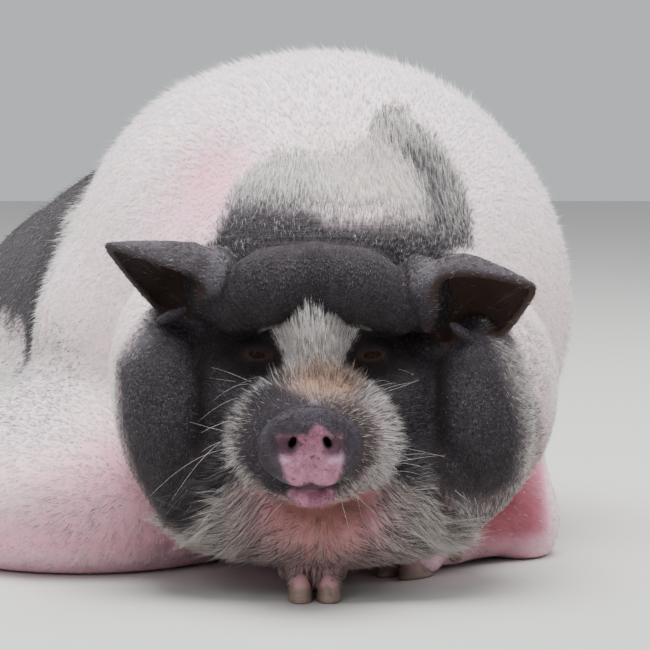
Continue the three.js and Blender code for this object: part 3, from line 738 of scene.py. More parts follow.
def node(tree, kind, **settings):
    n = tree.nodes.new(kind)
    for name, value in settings.items():
        setattr(n, name, value)
    return n


def feed(tree, socket, value):
    """Links a socket to the input, or sets it to a plain number or colour."""
    if isinstance(value, bpy.types.NodeSocket):
        tree.links.new(value, socket)
    else:
        socket.default_value = (*value, 1) if isinstance(value, tuple) else value


def mixed(tree, factor, a, b):
    mix = node(tree, "ShaderNodeMix", data_type="RGBA")
    for socket, value in ((mix.inputs[0], factor), (mix.inputs[6], a), (mix.inputs[7], b)):
        feed(tree, socket, value)
    return mix.outputs[2]


def sums(tree, operation, *values, clamp=False):
    m = node(tree, "ShaderNodeMath", operation=operation, use_clamp=clamp)
    for socket, value in zip(m.inputs, values):
        feed(tree, socket, value)
    return m.outputs[0]


def ramp(tree, value, low, high):
    """0 at low, 1 at high, smooth between."""
    span = node(tree, "ShaderNodeMapRange", interpolation_type="SMOOTHSTEP")
    feed(tree, span.inputs["Value"], value)
    feed(tree, span.inputs["From Min"], low)
    feed(tree, span.inputs["From Max"], high)
    return span.outputs["Result"]


def attribute(tree, name, output="Fac"):
    return node(tree, "ShaderNodeAttribute", attribute_name=name).outputs[output]


def noise(tree, scale, detail=3.0, rough=0.55, stretch=None, at=None):
    """Noise with about scale grains to the metre, pressed together by stretch along each axis."""
    at = at or node(tree, "ShaderNodeTexCoord").outputs["Object"]
    if stretch:
        mapping = node(tree, "ShaderNodeMapping")
        mapping.inputs["Scale"].default_value = stretch
        tree.links.new(at, mapping.inputs["Vector"])
        at = mapping.outputs["Vector"]
    n = node(tree, "ShaderNodeTexNoise")
    n.inputs["Scale"].default_value = scale
    n.inputs["Detail"].default_value = detail
    n.inputs["Roughness"].default_value = rough
    tree.links.new(at, n.inputs["Vector"])
    return n.outputs["Fac"]


def ragged(tree, value, pattern, amount):
    """Breaks the soft edge of a marking with a pattern, and leaves its full stretches alone."""
    inner = sums(tree, "MULTIPLY", value, sums(tree, "SUBTRACT", 1.0, value))
    edge = sums(tree, "MULTIPLY", inner, 4 * amount)
    shift = sums(tree, "MULTIPLY", sums(tree, "SUBTRACT", pattern, 0.5), edge)
    return sums(tree, "ADD", value, shift, clamp=True)


GREY_SHEEN = (0.15, 0.135, 0.155)


def hair_colours():
    """Colour of one hair, from the markings and its own tone between 0 and 1."""
    group = bpy.data.node_groups.new("hair colours", "ShaderNodeTree")
    group.interface.new_socket("Tone", in_out="INPUT", socket_type="NodeSocketFloat")
    group.interface.new_socket("Along", in_out="INPUT", socket_type="NodeSocketFloat")
    group.interface.new_socket("Color", in_out="OUTPUT", socket_type="NodeSocketColor")
    into = node(group, "NodeGroupInput")
    tone = into.outputs["Tone"]
    pale = attribute(group, "pale")
    black = attribute(group, "black")
    is_light = ramp(group, sums(group, "SUBTRACT", pale, tone), -0.05, 0.05)
    dark = mixed(group, tone, (0.018, 0.015, 0.018), (0.078, 0.068, 0.074))
    # Dark hairs turn grey with painted sheen where it is laid.
    dark = mixed(group, attribute(group, "bloom"), dark, GREY_SHEEN)
    # Painted shade darkens the dark hairs in creases, sockets and cups.
    dark = mixed(group, attribute(group, "deep"), dark, (0.012, 0.009, 0.009))
    white = mixed(group, tone, (0.86, 0.81, 0.79), (0.95, 0.93, 0.92))
    flushed = sums(group, "MULTIPLY", attribute(group, "blush"), 0.42, clamp=True)
    white = mixed(group, flushed, white, (0.84, 0.52, 0.62))
    grey = mixed(group, tone, (0.24, 0.23, 0.235), (0.64, 0.62, 0.60))
    greyness = sums(group, "SUBTRACT", 0.8, sums(group, "MULTIPLY", pale, 0.5))
    light = mixed(group, sums(group, "MULTIPLY", black, greyness), white, grey)
    light = mixed(group, attribute(group, "tan"), light, (0.36, 0.20, 0.105))
    # Painted shade browns the light hairs.
    shadowed = sums(group, "MULTIPLY", attribute(group, "deep"), 0.6)
    light = mixed(group, shadowed, light, (0.15, 0.075, 0.05))
    colour = mixed(group, is_light, dark, light)
    tip = sums(group, "POWER", into.outputs["Along"], 1.6)
    tip = sums(group, "MULTIPLY", tip, attribute(group, "frost"))
    frosty = mixed(group, attribute(group, "tan"), (0.82, 0.79, 0.74), (0.66, 0.50, 0.36))
    colour = mixed(group, tip, colour, frosty)
    out = node(group, "NodeGroupOutput")
    group.links.new(colour, out.inputs["Color"])
    return group


hair_group = hair_colours()


def shaded(name):
    """A new material, its tree and its shader."""
    material = bpy.data.materials.new(name)
    material.use_nodes = True
    return material, material.node_tree, material.node_tree.nodes["Principled BSDF"]


def emboss(tree, shader, height, strength, distance):
    """Raises the surface by height times distance, in metres."""
    bump = node(tree, "ShaderNodeBump")
    bump.inputs["Strength"].default_value = strength
    bump.inputs["Distance"].default_value = distance
    tree.links.new(height, bump.inputs["Height"])
    tree.links.new(bump.outputs["Normal"], shader.inputs["Normal"])


def hide_material():
    material, tree, shader = shaded("hide")
    coarse = noise(tree, 38, 4, 0.6)
    fine = noise(tree, 420, 3, 0.6)
    strands = noise(tree, 1150, 2, 0.6, at=attribute(tree, "grain", "Vector"))
    wisps = noise(tree, 330, 3, 0.6, at=attribute(tree, "grain", "Vector"))
    fine_share = sums(tree, "MULTIPLY", strands, 0.65)
    strands = sums(tree, "ADD", fine_share, sums(tree, "MULTIPLY", wisps, 0.35))
    black = ragged(tree, attribute(tree, "black"), wisps, 2.0)
    flushed = sums(tree, "MULTIPLY", attribute(tree, "blush"), 0.8, clamp=True)
    pink = mixed(tree, flushed, (0.88, 0.71, 0.75), (0.78, 0.30, 0.43))
    # Past 1.2 the flush turns dark crimson: red skin, with painted shade on the arm and under the
    # chin.
    crimson_and_shade = sums(tree, "SUBTRACT", attribute(tree, "blush"), 1.2, clamp=True)
    pink = mixed(tree, crimson_and_shade, pink, (0.36, 0.04, 0.09))
    # Painted shade on the pink skin.
    shade_on_pink = sums(tree, "MULTIPLY", attribute(tree, "deep"), 0.8)
    pink = mixed(tree, shade_on_pink, pink, (0.115, 0.032, 0.024))
    pink = mixed(tree, sums(tree, "MULTIPLY", coarse, 0.22), pink, (0.72, 0.46, 0.50))
    weave = ramp(tree, noise(tree, 760, 2, 0.6), 0.34, 0.68)
    dark = mixed(tree, weave, (0.009, 0.007, 0.010), (0.058, 0.049, 0.059))
    patchy = sums(tree, "MULTIPLY", ramp(tree, coarse, 0.42, 0.62), 0.5)
    dark = mixed(tree, patchy, dark, (0.012, 0.010, 0.012))
    # Dark skin turns grey with painted sheen where it is laid.
    dark = mixed(tree, attribute(tree, "bloom"), dark, GREY_SHEEN)
    # Painted shade on the dark skin.
    dark = mixed(tree, attribute(tree, "deep"), dark, (0.012, 0.008, 0.008))
    colour = mixed(tree, black, pink, dark)
    tanned = sums(tree, "MULTIPLY", attribute(tree, "tan"), 0.45)
    colour = mixed(tree, tanned, colour, (0.42, 0.22, 0.13))
    painted = node(tree, "ShaderNodeGroup", node_tree=hair_group)
    tree.links.new(ramp(tree, wisps, 0.30, 0.70), painted.inputs["Tone"])
    painted.inputs["Along"].default_value = 0.4
    hairy = ramp(tree, strands, 0.44, 0.60)
    hairy = sums(tree, "MULTIPLY", hairy, attribute(tree, "cover"))
    colour = mixed(tree, hairy, colour, painted.outputs["Color"])
    slate = mixed(tree, coarse, (0.034, 0.031, 0.042), (0.098, 0.088, 0.112))
    rose = mixed(tree, ramp(tree, coarse, 0.35, 0.65), (0.20, 0.073, 0.115), (0.40, 0.175, 0.245))
    flecks = sums(tree, "MULTIPLY", ramp(tree, fine, 0.4, 0.8), 0.3)
    rose = mixed(tree, flecks, rose, (0.60, 0.34, 0.40))
    disc = mixed(tree, ragged(tree, attribute(tree, "nose_pink"), coarse, 1.5), slate, rose)
    # Painted lilac highlight on the ridges under the nostrils.
    disc = mixed(tree, attribute(tree, "bloom"), disc, (0.56, 0.44, 0.58))
    # Painted shade on the disc's sides, basins, nostrils and mouth line.
    disc = mixed(tree, attribute(tree, "deep"), disc, (0.025, 0.012, 0.018))
    speck = sums(tree, "GREATER_THAN", noise(tree, 240, 2, 0.5), 0.64)
    disc = mixed(tree, sums(tree, "MULTIPLY", speck, 0.6), disc, (0.045, 0.026, 0.022))
    colour = mixed(tree, attribute(tree, "nose"), colour, disc)
    tree.links.new(colour, shader.inputs["Base Color"])
    rough = sums(tree, "SUBTRACT", 0.75, sums(tree, "MULTIPLY", attribute(tree, "nose"), 0.22))
    tree.links.new(rough, shader.inputs["Roughness"])
    shader.inputs["Specular IOR Level"].default_value = 0.16
    pores = sums(tree, "ADD", sums(tree, "MULTIPLY", weave, 0.5), noise(tree, 140, 4, 0.65))
    bare = sums(tree, "SUBTRACT", 1.0, attribute(tree, "nose"))
    furred = sums(tree, "MULTIPLY", sums(tree, "MULTIPLY", strands, 1.1), bare)
    coarseness = sums(tree, "ADD", 0.3, sums(tree, "MULTIPLY", attribute(tree, "black"), 0.7))
    furred = sums(tree, "MULTIPLY", furred, coarseness)
    pores = sums(tree, "MULTIPLY", pores, coarseness)
    folds = noise(tree, 55, 2, 0.5, stretch=(0.25, 1, 5))
    folds = sums(tree, "MULTIPLY", sums(tree, "MULTIPLY", folds, 3.0), attribute(tree, "wrinkle"))
    relief = sums(tree, "ADD", sums(tree, "ADD", pores, furred), folds)
    emboss(tree, shader, relief, 0.55, 0.0014)
    return material


skin_mesh.materials.clear()
skin_mesh.materials.append(hide_material())
FLESH = [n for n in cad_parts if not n.startswith("eye_") and "claw" not in n]
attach(skin, "root")
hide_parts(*FLESH)


# ---------------------------------------------------------------------------------------------
# Eyes. Small wet balls, brown round a wide-set oval pupil, deep under the lids. Each is a globe
# with the cornea standing a little proud of it, and looks straight ahead.

GAZE = (0, -1, -0.06)
IRIS = 6.2                      # radius, in millimetres
CORNEA = 0.7                    # how far it stands proud
PUPIL = 2.3                     # half its height
PUPIL_STRETCH = 1.35            # its breadth against its height
EYE_INSET = 0.3                 # between the ball and the face of its solid


def iris_material():
    material, tree, shader = shaded("eye")
    rays = noise(tree, 900, 2, 0.5, stretch=(1, 0.2, 1))
    brown = mixed(tree, rays, (0.025, 0.010, 0.005), (0.11, 0.042, 0.018))
    white = mixed(tree, noise(tree, 300, 2), (0.10, 0.055, 0.045), (0.20, 0.12, 0.10))
    colour = mixed(tree, attribute(tree, "iris"), white, brown)
    colour = mixed(tree, attribute(tree, "pupil"), colour, (0.003, 0.003, 0.003))
    tree.links.new(colour, shader.inputs["Base Color"])
    shader.inputs["Roughness"].default_value = 0.25
    shader.inputs["Specular IOR Level"].default_value = 0.15
    return material


wet = iris_material()
gaze = Vector(np.array(GAZE) / np.linalg.norm(GAZE))
for side, name in ((1, "left"), (-1, "right")):
    bm = bmesh.new()
    bmesh.ops.create_uvsphere(bm, u_segments=48, v_segments=32, radius=1)
    bmesh.ops.rotate(bm, verts=bm.verts, matrix=gaze.to_track_quat("Z", "Y").to_matrix())
    eyeball = bpy.data.meshes.new("eyeball_" + name)
    aside, back, up = EYE_AT
    centre = np.array(EYES) + np.array([side * aside + FACE_SKEW * back, back, up])
    off_axis = np.array([
        math.sin(v.co.angle(gaze)) if v.co.dot(gaze) > 0 else 1
        for v in bm.verts
    ])
    domed = np.clip(1 - (off_axis * EYE_RADIUS / (IRIS + 1)) ** 2, 0, 1)
    out = EYE_RADIUS - EYE_INSET + CORNEA * domed
    level = np.array([v.co.z for v in bm.verts]) * EYE_RADIUS
    across = np.array([v.co.x for v in bm.verts]) * EYE_RADIUS
    front = off_axis < 0.99
    for v, r in zip(bm.verts, out):
        v.co = (v.co * float(r) + Vector(centre)) / 1000
    bm.to_mesh(eyeball)
    bm.free()
    iris = soft(off_axis * EYE_RADIUS - IRIS, 0.6) * front
    pupil = soft(np.hypot(across / PUPIL_STRETCH, level) - PUPIL, 0.4) * front
    store(eyeball, "iris", iris)
    store(eyeball, "pupil", pupil)
    eyeball.shade_smooth()
    eyeball.materials.append(wet)
    ball = shown("eyeball_" + name, eyeball)
    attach(ball, "root")
    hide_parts("eye_" + name)


# ---------------------------------------------------------------------------------------------
# Claws. Horn sheaths, two to bear weight and two dew claws on every foot, pale and ringed where
# they grew, with a flat sole. Each fills the place of its solid.

MAIN_CLAW = (12, 23, 24)        # half width, half length and height
DEW_CLAW = (8, 9, 11)
CLAW_FIT = 0.97                 # size against the solid, so that the rings stay inside
SOLE_AT = 0.3                   # above the floor


def horn_material():
    material, tree, shader = shaded("horn")
    rings = noise(tree, 60, 3, 0.6, stretch=(0.5, 0.5, 7))
    mud = noise(tree, 90, 4, 0.6)
    colour = mixed(tree, rings, (0.12, 0.078, 0.062), (0.36, 0.25, 0.20))
    colour = mixed(tree, attribute(tree, "rim"), colour, (0.50, 0.27, 0.28))
    muddy = sums(tree, "MULTIPLY", sums(tree, "GREATER_THAN", mud, 0.58), 0.5)
    colour = mixed(tree, muddy, colour, (0.13, 0.09, 0.06))
    tree.links.new(colour, shader.inputs["Base Color"])
    rough = sums(tree, "ADD", 0.35, sums(tree, "MULTIPLY", mud, 0.3))
    tree.links.new(rough, shader.inputs["Roughness"])
    emboss(tree, shader, rings, 0.5, 0.0008)
    return material


horn = horn_material()
for foot, (at, heading) in FEET.items():
    for side, word in ((-1, "outer"), (1, "inner")):
        for kind, radii, spot in (
            ("claw", MAIN_CLAW, ahead(at, heading, 10, side * 13, 2)),
            ("dew_claw", DEW_CLAW, ahead(at, heading, -40, side * 25, 20)),
        ):
            bm = bmesh.new()
            bmesh.ops.create_uvsphere(bm, u_segments=28, v_segments=20, radius=1)
            claw = bpy.data.meshes.new(f"{foot}_{kind}_{word}_horn")
            points = np.array([v.co for v in bm.verts])
            if kind == "claw":
                level = points[:, :2]
                points[:, :2] = np.sign(level) * np.abs(level) ** 0.78          # squarer than an egg
                points[:, 1] += 0.12 * np.clip(points[:, 2], 0, 1)              # front wall leans back
                points[:, 1] *= 1 - 0.12 * np.clip(points[:, 2], 0, 1)
                points[:, 0] *= 1 - 0.16 * np.clip(-points[:, 1], 0, 1)
                points[:, 0] *= 1 - 0.20 * np.clip(points[:, 2], 0, 1)
            rim = np.clip((points[:, 2] - 0.42) * 6, 0, 1)
            ringed = 1 + 0.012 * np.sin(points[:, 2] * 34)
            points = points * ringed[:, None] * np.array(radii) * CLAW_FIT
            points = points @ turned(turn=heading).T + np.array(spot)
            if kind == "claw":
                points[:, 2] = np.maximum(points[:, 2], SOLE_AT)
            for v, co in zip(bm.verts, points):
                v.co = Vector(co) / 1000
            bmesh.ops.recalc_face_normals(bm, faces=bm.faces)
            bm.to_mesh(claw)
            bm.free()
            store(claw, "rim", rim)
            claw.shade_smooth()
            claw.materials.append(horn)
            sheath = shown(claw.name, claw)
            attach(sheath, "root")
            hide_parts(f"{foot}_{kind}_{word}")


# ---------------------------------------------------------------------------------------------
# Coat. Bristles in small tufts that follow the lie of the hair: out from the nose over the head,
# down the jowls, then back along the trunk and down its sides. Short ones are straight, long ones
# gather to a point and bend, and none grow on the pink of the nose, in the eyes or on the floor.

def unit(v):
    return v / np.maximum(np.linalg.norm(v, axis=1, keepdims=True), 1e-6)


def steer(lie, mask, way):
    """Turns the lie towards a way where the mask holds."""
    return lie + (np.asarray(way, np.float32) - lie) * np.asarray(mask, np.float32)[:, None]


normal = np.empty(len(place) * 3, np.float32)
skin_mesh.vertices.foreach_get("normal", normal)
normal = normal.reshape(-1, 3)
side_of_face = np.tanh((seen[:, :1] - 6) / 16) * np.array([1, 0, 0], np.float32)
lie = unit(seen - np.array([0, -165, -60], np.float32)) + np.array([0, 0, -0.12], np.float32)
lie = steer(lie, np.clip((y + 330) / 260, 0, 1), trunk_way)
lie = steer(lie, jowls * 0.8, (0, 0.2, -1))
locks = soft(egg(half, (96, -20, -146), (54, 80, 44), roll=20), 24)
under_chin = throat * soft(np.abs(seen[:, 2] + 150) - 40, 20) * (1 - on_head)
locks = np.maximum(locks, under_chin) * soft(half[:, 0] - 138, 14)
curl = np.sin(half[:, 0] / 7.5 + 1.6 * np.sin(seen[:, 2] / 13))
downwards = np.stack([curl * 0, curl * 0, -0.75 - curl], 1).astype(np.float32)
lie = steer(lie, locks * 0.9, side_of_face * (0.9 + 0.5 * curl[:, None]) + downwards)
centre_chin = soft(egg(seen, (8, -20, -142), (62, 90, 42)), 24)
lie = steer(lie, centre_chin * 0.8, side_of_face * 0.9 + np.array([0, 0.2, -0.5], np.float32))
fan = side_of_face * (half[:, :1] / 30) ** 2 * 0.75 + np.array([0, -0.2, 1.2], np.float32)
lie = steer(lie, soft(np.minimum(blaze, forelock), 8) * 0.9, fan)
lie = steer(lie, on_nape * 0.8, (0, 0.35, 1))
near_foot = np.clip((60 - height) / 30, 0, 1) * (1 - soft(-trunk(place) - 18, 4))
lie = steer(lie, near_foot, (0, -0.8, -0.4))
for shape in EARS.values():
    on_ear = soft(ear(place, *shape) - 4, 3)
    outwards = unit(np.array([shape[1]], np.float32) - np.array([shape[0]], np.float32))[0]
    lie = steer(lie, on_ear, outwards + np.array([0, 0.15, -0.25], np.float32))
on_tail = soft(tail(place) - 6, 3)
lie = steer(lie, on_tail, (0, 0.2, -1))
lie = unit(lie - normal * (lie * normal).sum(1)[:, None])

# Length in millimetres, closeness against the area's own, and how far the hair stands up.
habit = {
    "reach": np.full(len(place), 13.0, np.float32),
    "thick": np.full(len(place), 1.0, np.float32),
    "lift": np.full(len(place), 0.15, np.float32),
}


def comb(mask, **values):
    """Moves the named habits towards the given ones where the mask holds."""
    for name, value in values.items():
        habit[name] += (value - habit[name]) * mask


comb(soft(360 - height, 60), reach=17, lift=0.20)
comb(soft(-150 - y, 40) * soft(160 - height, 60), reach=19, lift=0.34)
comb(soft(445 - height, 24), reach=22, lift=0.45, thick=0.85)
comb(soft(saddle, 20), reach=10, thick=1.1, lift=0.14)
comb(np.clip(paint["blush"] - 0.6, 0, 1) * soft(20 - seen[:, 1], 20), thick=0.45)
short = soft(seen[:, 1] - 60, 25) * soft(-seen[:, 2] - 200, 30)
comb(short, reach=7.5, lift=0.22)
comb(on_nape, reach=10, lift=0.22)
comb(frosted, reach=30, lift=0.26, thick=1.1)
comb(wrinkled, reach=8, lift=0.18, thick=0.7)
comb(forehead, reach=5.5, lift=0.14, thick=0.9)
comb(jowls, reach=6, lift=0.10, thick=0.9)
comb(locks, reach=46, thick=1.5, lift=0.18)
comb(rim_frost, reach=16, thick=1.2, lift=0.25)
comb(centre_chin, reach=18, thick=0.45, lift=0.10)
comb(soft(egg(place, (266, -225, 62), (44, 80, 96)), 12), thick=0.12, reach=8)
comb(soft(to_rim * -1 - 8, 8) * soft(seen[:, 1] - 60, 20) * (1 - on_head), reach=11, lift=0.3)
comb(soft(blaze, 6), reach=22, thick=1.5, lift=0.26)
comb(soft(blaze, 6) * soft(16 - seen[:, 2], 8), reach=25, lift=0.36)
comb(soft(forelock, 5), reach=36, thick=1.0, lift=0.36)
comb(ring, reach=16, thick=1.0, lift=0.26)
comb(outer_fringe, reach=30, thick=1.0, lift=0.42)
comb(crease, reach=5, thick=0.3, lift=0.1)
comb(near_disc, reach=5, thick=0.6, lift=0.2)
comb(near_disc * to_left, reach=12)
comb(brow_crease, reach=5, thick=0.3, lift=0.1)
comb(sockets, reach=5, thick=0.35, lift=0.2)
comb(near_foot, reach=8, thick=0.9, lift=0.2)
comb(on_ears, reach=6, thick=0.9, lift=0.08)
for name in EARS:
    comb(soft(in_cup(place, *EARS[name])[0], 1.5) * on_ears, reach=9, thick=0.1, lift=0.1)
for on_lobe in on_lobes:
    comb(on_lobe, thick=0.15, reach=4)
comb(on_tail * soft(height - 150, 14), reach=42, thick=3, lift=0.35)
slits = soft(egg(half, (53, -10, 0), (13, 30, 7)), 3)
comb(np.maximum(slits, nose), thick=0)
comb(slate_fringe, thick=1.4, reach=4.5, lift=0.3)
comb(soft(height - 12, 4), reach=6, lift=0.05)
comb(soft(height - 4, 2), thick=0)

# Round the head the unwrap is polar about the nose, over the body it is rolled about a line
# through the trunk, with the rump drawn in.
HEAD_REACH = 700                # from the nose to the edge of the head's map
ROLL_AXIS = 150                 # height of that line
spread = np.sqrt(np.clip(from_nose_tip / HEAD_REACH, 0, 1))
head_map = np.stack([
    0.5 + 0.48 * spread * np.cos(turn_about), 0.5 + 0.48 * spread * np.sin(turn_about), spread * 0,
], 1)
crosswise = np.arctan2(beside, height - ROLL_AXIS) / (2 * np.pi) + 0.5
towards_ends = np.clip((behind - 200) / 220, -1, 1)
lengthways = behind + 0.8 * (260 - np.hypot(beside, height - ROLL_AXIS)) * towards_ends
body_map = np.stack([crosswise, (lengthways + 420) / 1400, crosswise * 0], 1)

# Areas, one piece of coat each. Nose to withers lie on the head's map, the rest on the body's.
PATCH = 0.003                   # breadth of each tuft's own patch of the map
AREAS = {
    # name: (map, kind of tuft, tufts on each square centimetre, stray, breadth in millimetres)
    "face": ("head_map", "short", 9.0, 0.14, 8),
    "muzzle": ("head_map", "long", 13.0, 0.28, 6.5),
    "blaze": ("head_map", "long", 12.0, 0.12, 6.5),
    "throat": ("head_map", "long", 6.5, 0.16, 8),
    "nape": ("head_map", "long", 8.0, 0.12, 8),
    "jowl_left": ("head_map", "short", 8.0, 0.10, 8),
    "jowl_right": ("head_map", "short", 8.0, 0.10, 8),
    "ears": ("head_map", "short", 9.0, 0.12, 8),
    "shoulder_left": ("head_map", "guard", 4.6, 0.12, 8),
    "shoulder_right": ("head_map", "guard", 4.6, 0.12, 8),
    "back": ("body_map", "guard", 3.4, 0.14, 9),
    "side_left": ("body_map", "guard", 2.4, 0.14, 11),
    "side_right": ("body_map", "guard", 2.9, 0.14, 10),
    "rear": ("body_map", "guard", 1.8, 0.16, 15),
    "tassel": ("body_map", "long", 6.0, 0.30, 13),
}
FIRST_SEED = 20                 # the areas count on from it
starts = np.empty(len(skin_mesh.polygons), np.int32)
skin_mesh.polygons.foreach_get("loop_start", starts)
corners = np.empty(len(skin_mesh.loops), np.int32)
skin_mesh.loops.foreach_get("vertex_index", corners)


def by_face(values):
    """Each face's value, taken at its first corner."""
    return values[corners[starts]]


area = np.full(len(starts), list(AREAS).index("back"), np.int32)
f_y, f_beside, f_behind, f_x, f_z = map(by_face, (y, beside, behind, seen[:, 0], seen[:, 2]))
for name, mask in (
    ("side_left", f_beside > 70),
    ("side_right", f_beside < -70),
    ("rear", f_behind > 330),
    ("tassel", by_face(on_tail) > 0.5),
    ("shoulder_left", (f_y < -150) & (f_x > 10)),
    ("shoulder_right", (f_y < -150) & (f_x <= 10)),
    ("face", by_face(seen[:, 1]) < 95),
    ("jowl_left", (by_face(seen[:, 1]) < 95) & (f_x > 112)),
    ("jowl_right", (by_face(seen[:, 1]) < 95) & (f_x < -104)),
    ("throat", (by_face(seen[:, 1]) < 95) & (f_z < -112)),
    ("nape", by_face(on_nape) > 0.3),
    ("muzzle", by_face(ring) > 0.3),
    ("blaze", by_face(soft(blaze, 5)) > 0.3),
    ("ears", by_face(on_ears) > 0.5),
):
    area[mask] = list(AREAS).index(name)
skin_mesh.attributes.new("area", "INT", "FACE").data.foreach_set("value", area)
growth = {"lie": lie, "head_map": head_map, "body_map": body_map, **habit}
for name, values in growth.items():
    store(skin_mesh, name, values)


def tuft(name, bristles, stages):
    """Bristles of length 1 along X, each a closed three-sided spike through its stages."""
    verts, faces, along_it, strand, patch = [], [], [], [], []
    for n, (shift, splay, length, droop, shade) in enumerate(bristles):
        share = 1 / len(bristles)
        rings = []
        for t, width in stages:
            around = np.radians((30, 150, 270)) if width else (0,)
            rings.append(list(range(len(verts), len(verts) + len(around))))
            for a in around:
                aside = shift + t * length * math.sin(math.radians(splay))
                above = width * math.sin(a) - droop * t * t
                verts.append((t * length, aside + width * math.cos(a), above))
                along_it.append(t)
                strand.append(shade)
        faces.append(tuple(reversed(rings[0])))
        patch += [(n * share, 0), ((n + 0.5) * share, 0), ((n + 0.9) * share, 0)]
        for (t, _), (far, _), low, high in zip(stages, stages[1:], rings, rings[1:]):
            for s in range(3):
                r = (s + 1) % 3
                u0, u1 = (n + s * 0.3) * share, (n + s * 0.3 + 0.28) * share
                if len(high) == 3:
                    faces.append((low[s], low[r], high[r], high[s]))
                    patch += [(u0, t), (u1, t), (u1, far), (u0, far)]
                else:
                    faces.append((low[s], low[r], high[0]))
                    patch += [(u0, t), (u1, t), ((u0 + u1) / 2, far)]
    mesh = bpy.data.meshes.new(name)
    mesh.from_pydata(verts, [], faces)
    store(mesh, "along", along_it)
    store(mesh, "strand", strand)
    mesh.uv_layers.new(name="patch").data.foreach_set("uv", np.array(patch, np.float32).ravel())
    mesh.shade_smooth()
    return bpy.data.objects.new(name, mesh)


rng = np.random.default_rng(7)
SPIKE = ((0, 0.021), (1, 0))
BENT = ((0, 0.020), (0.55, 0.016), (1, 0))
tufts = {}
for kind, stages, number, droop, gather, guards in (
    ("short", SPIKE, 5, 0, 0, 0),
    ("long", BENT, 3, 0.4, 0.8, 0),
    ("guard", SPIKE, 5, 0, 0, 1),
):
    tufts[kind] = bpy.data.collections.new("tufts_" + kind)
    for n in range(5):
        spikes = []
        for _ in range(number):
            shift = rng.uniform(-0.2, 0.2) * (1 + gather)
            splay = rng.uniform(-14, 14) * (1 - 0.5 * gather) - math.degrees(gather * shift)
            length, bend, shade = rng.uniform(0.6, 1), rng.uniform(0, droop), rng.uniform(0, 1)
            spikes.append((shift, splay, length, bend, shade))
        if n < guards:                                      # one hair stands up out of the tuft
            shift, splay, _, _, shade = spikes[0]
            spikes[0] = (shift, splay * 2, 1.2, -0.4, shade)
        tufts[kind].objects.link(tuft(f"tuft_{kind}_{n}", spikes, stages))


SHORTEST, LONGEST = 0.6, 1.15   # tufts, against the reach of the hair where they grow


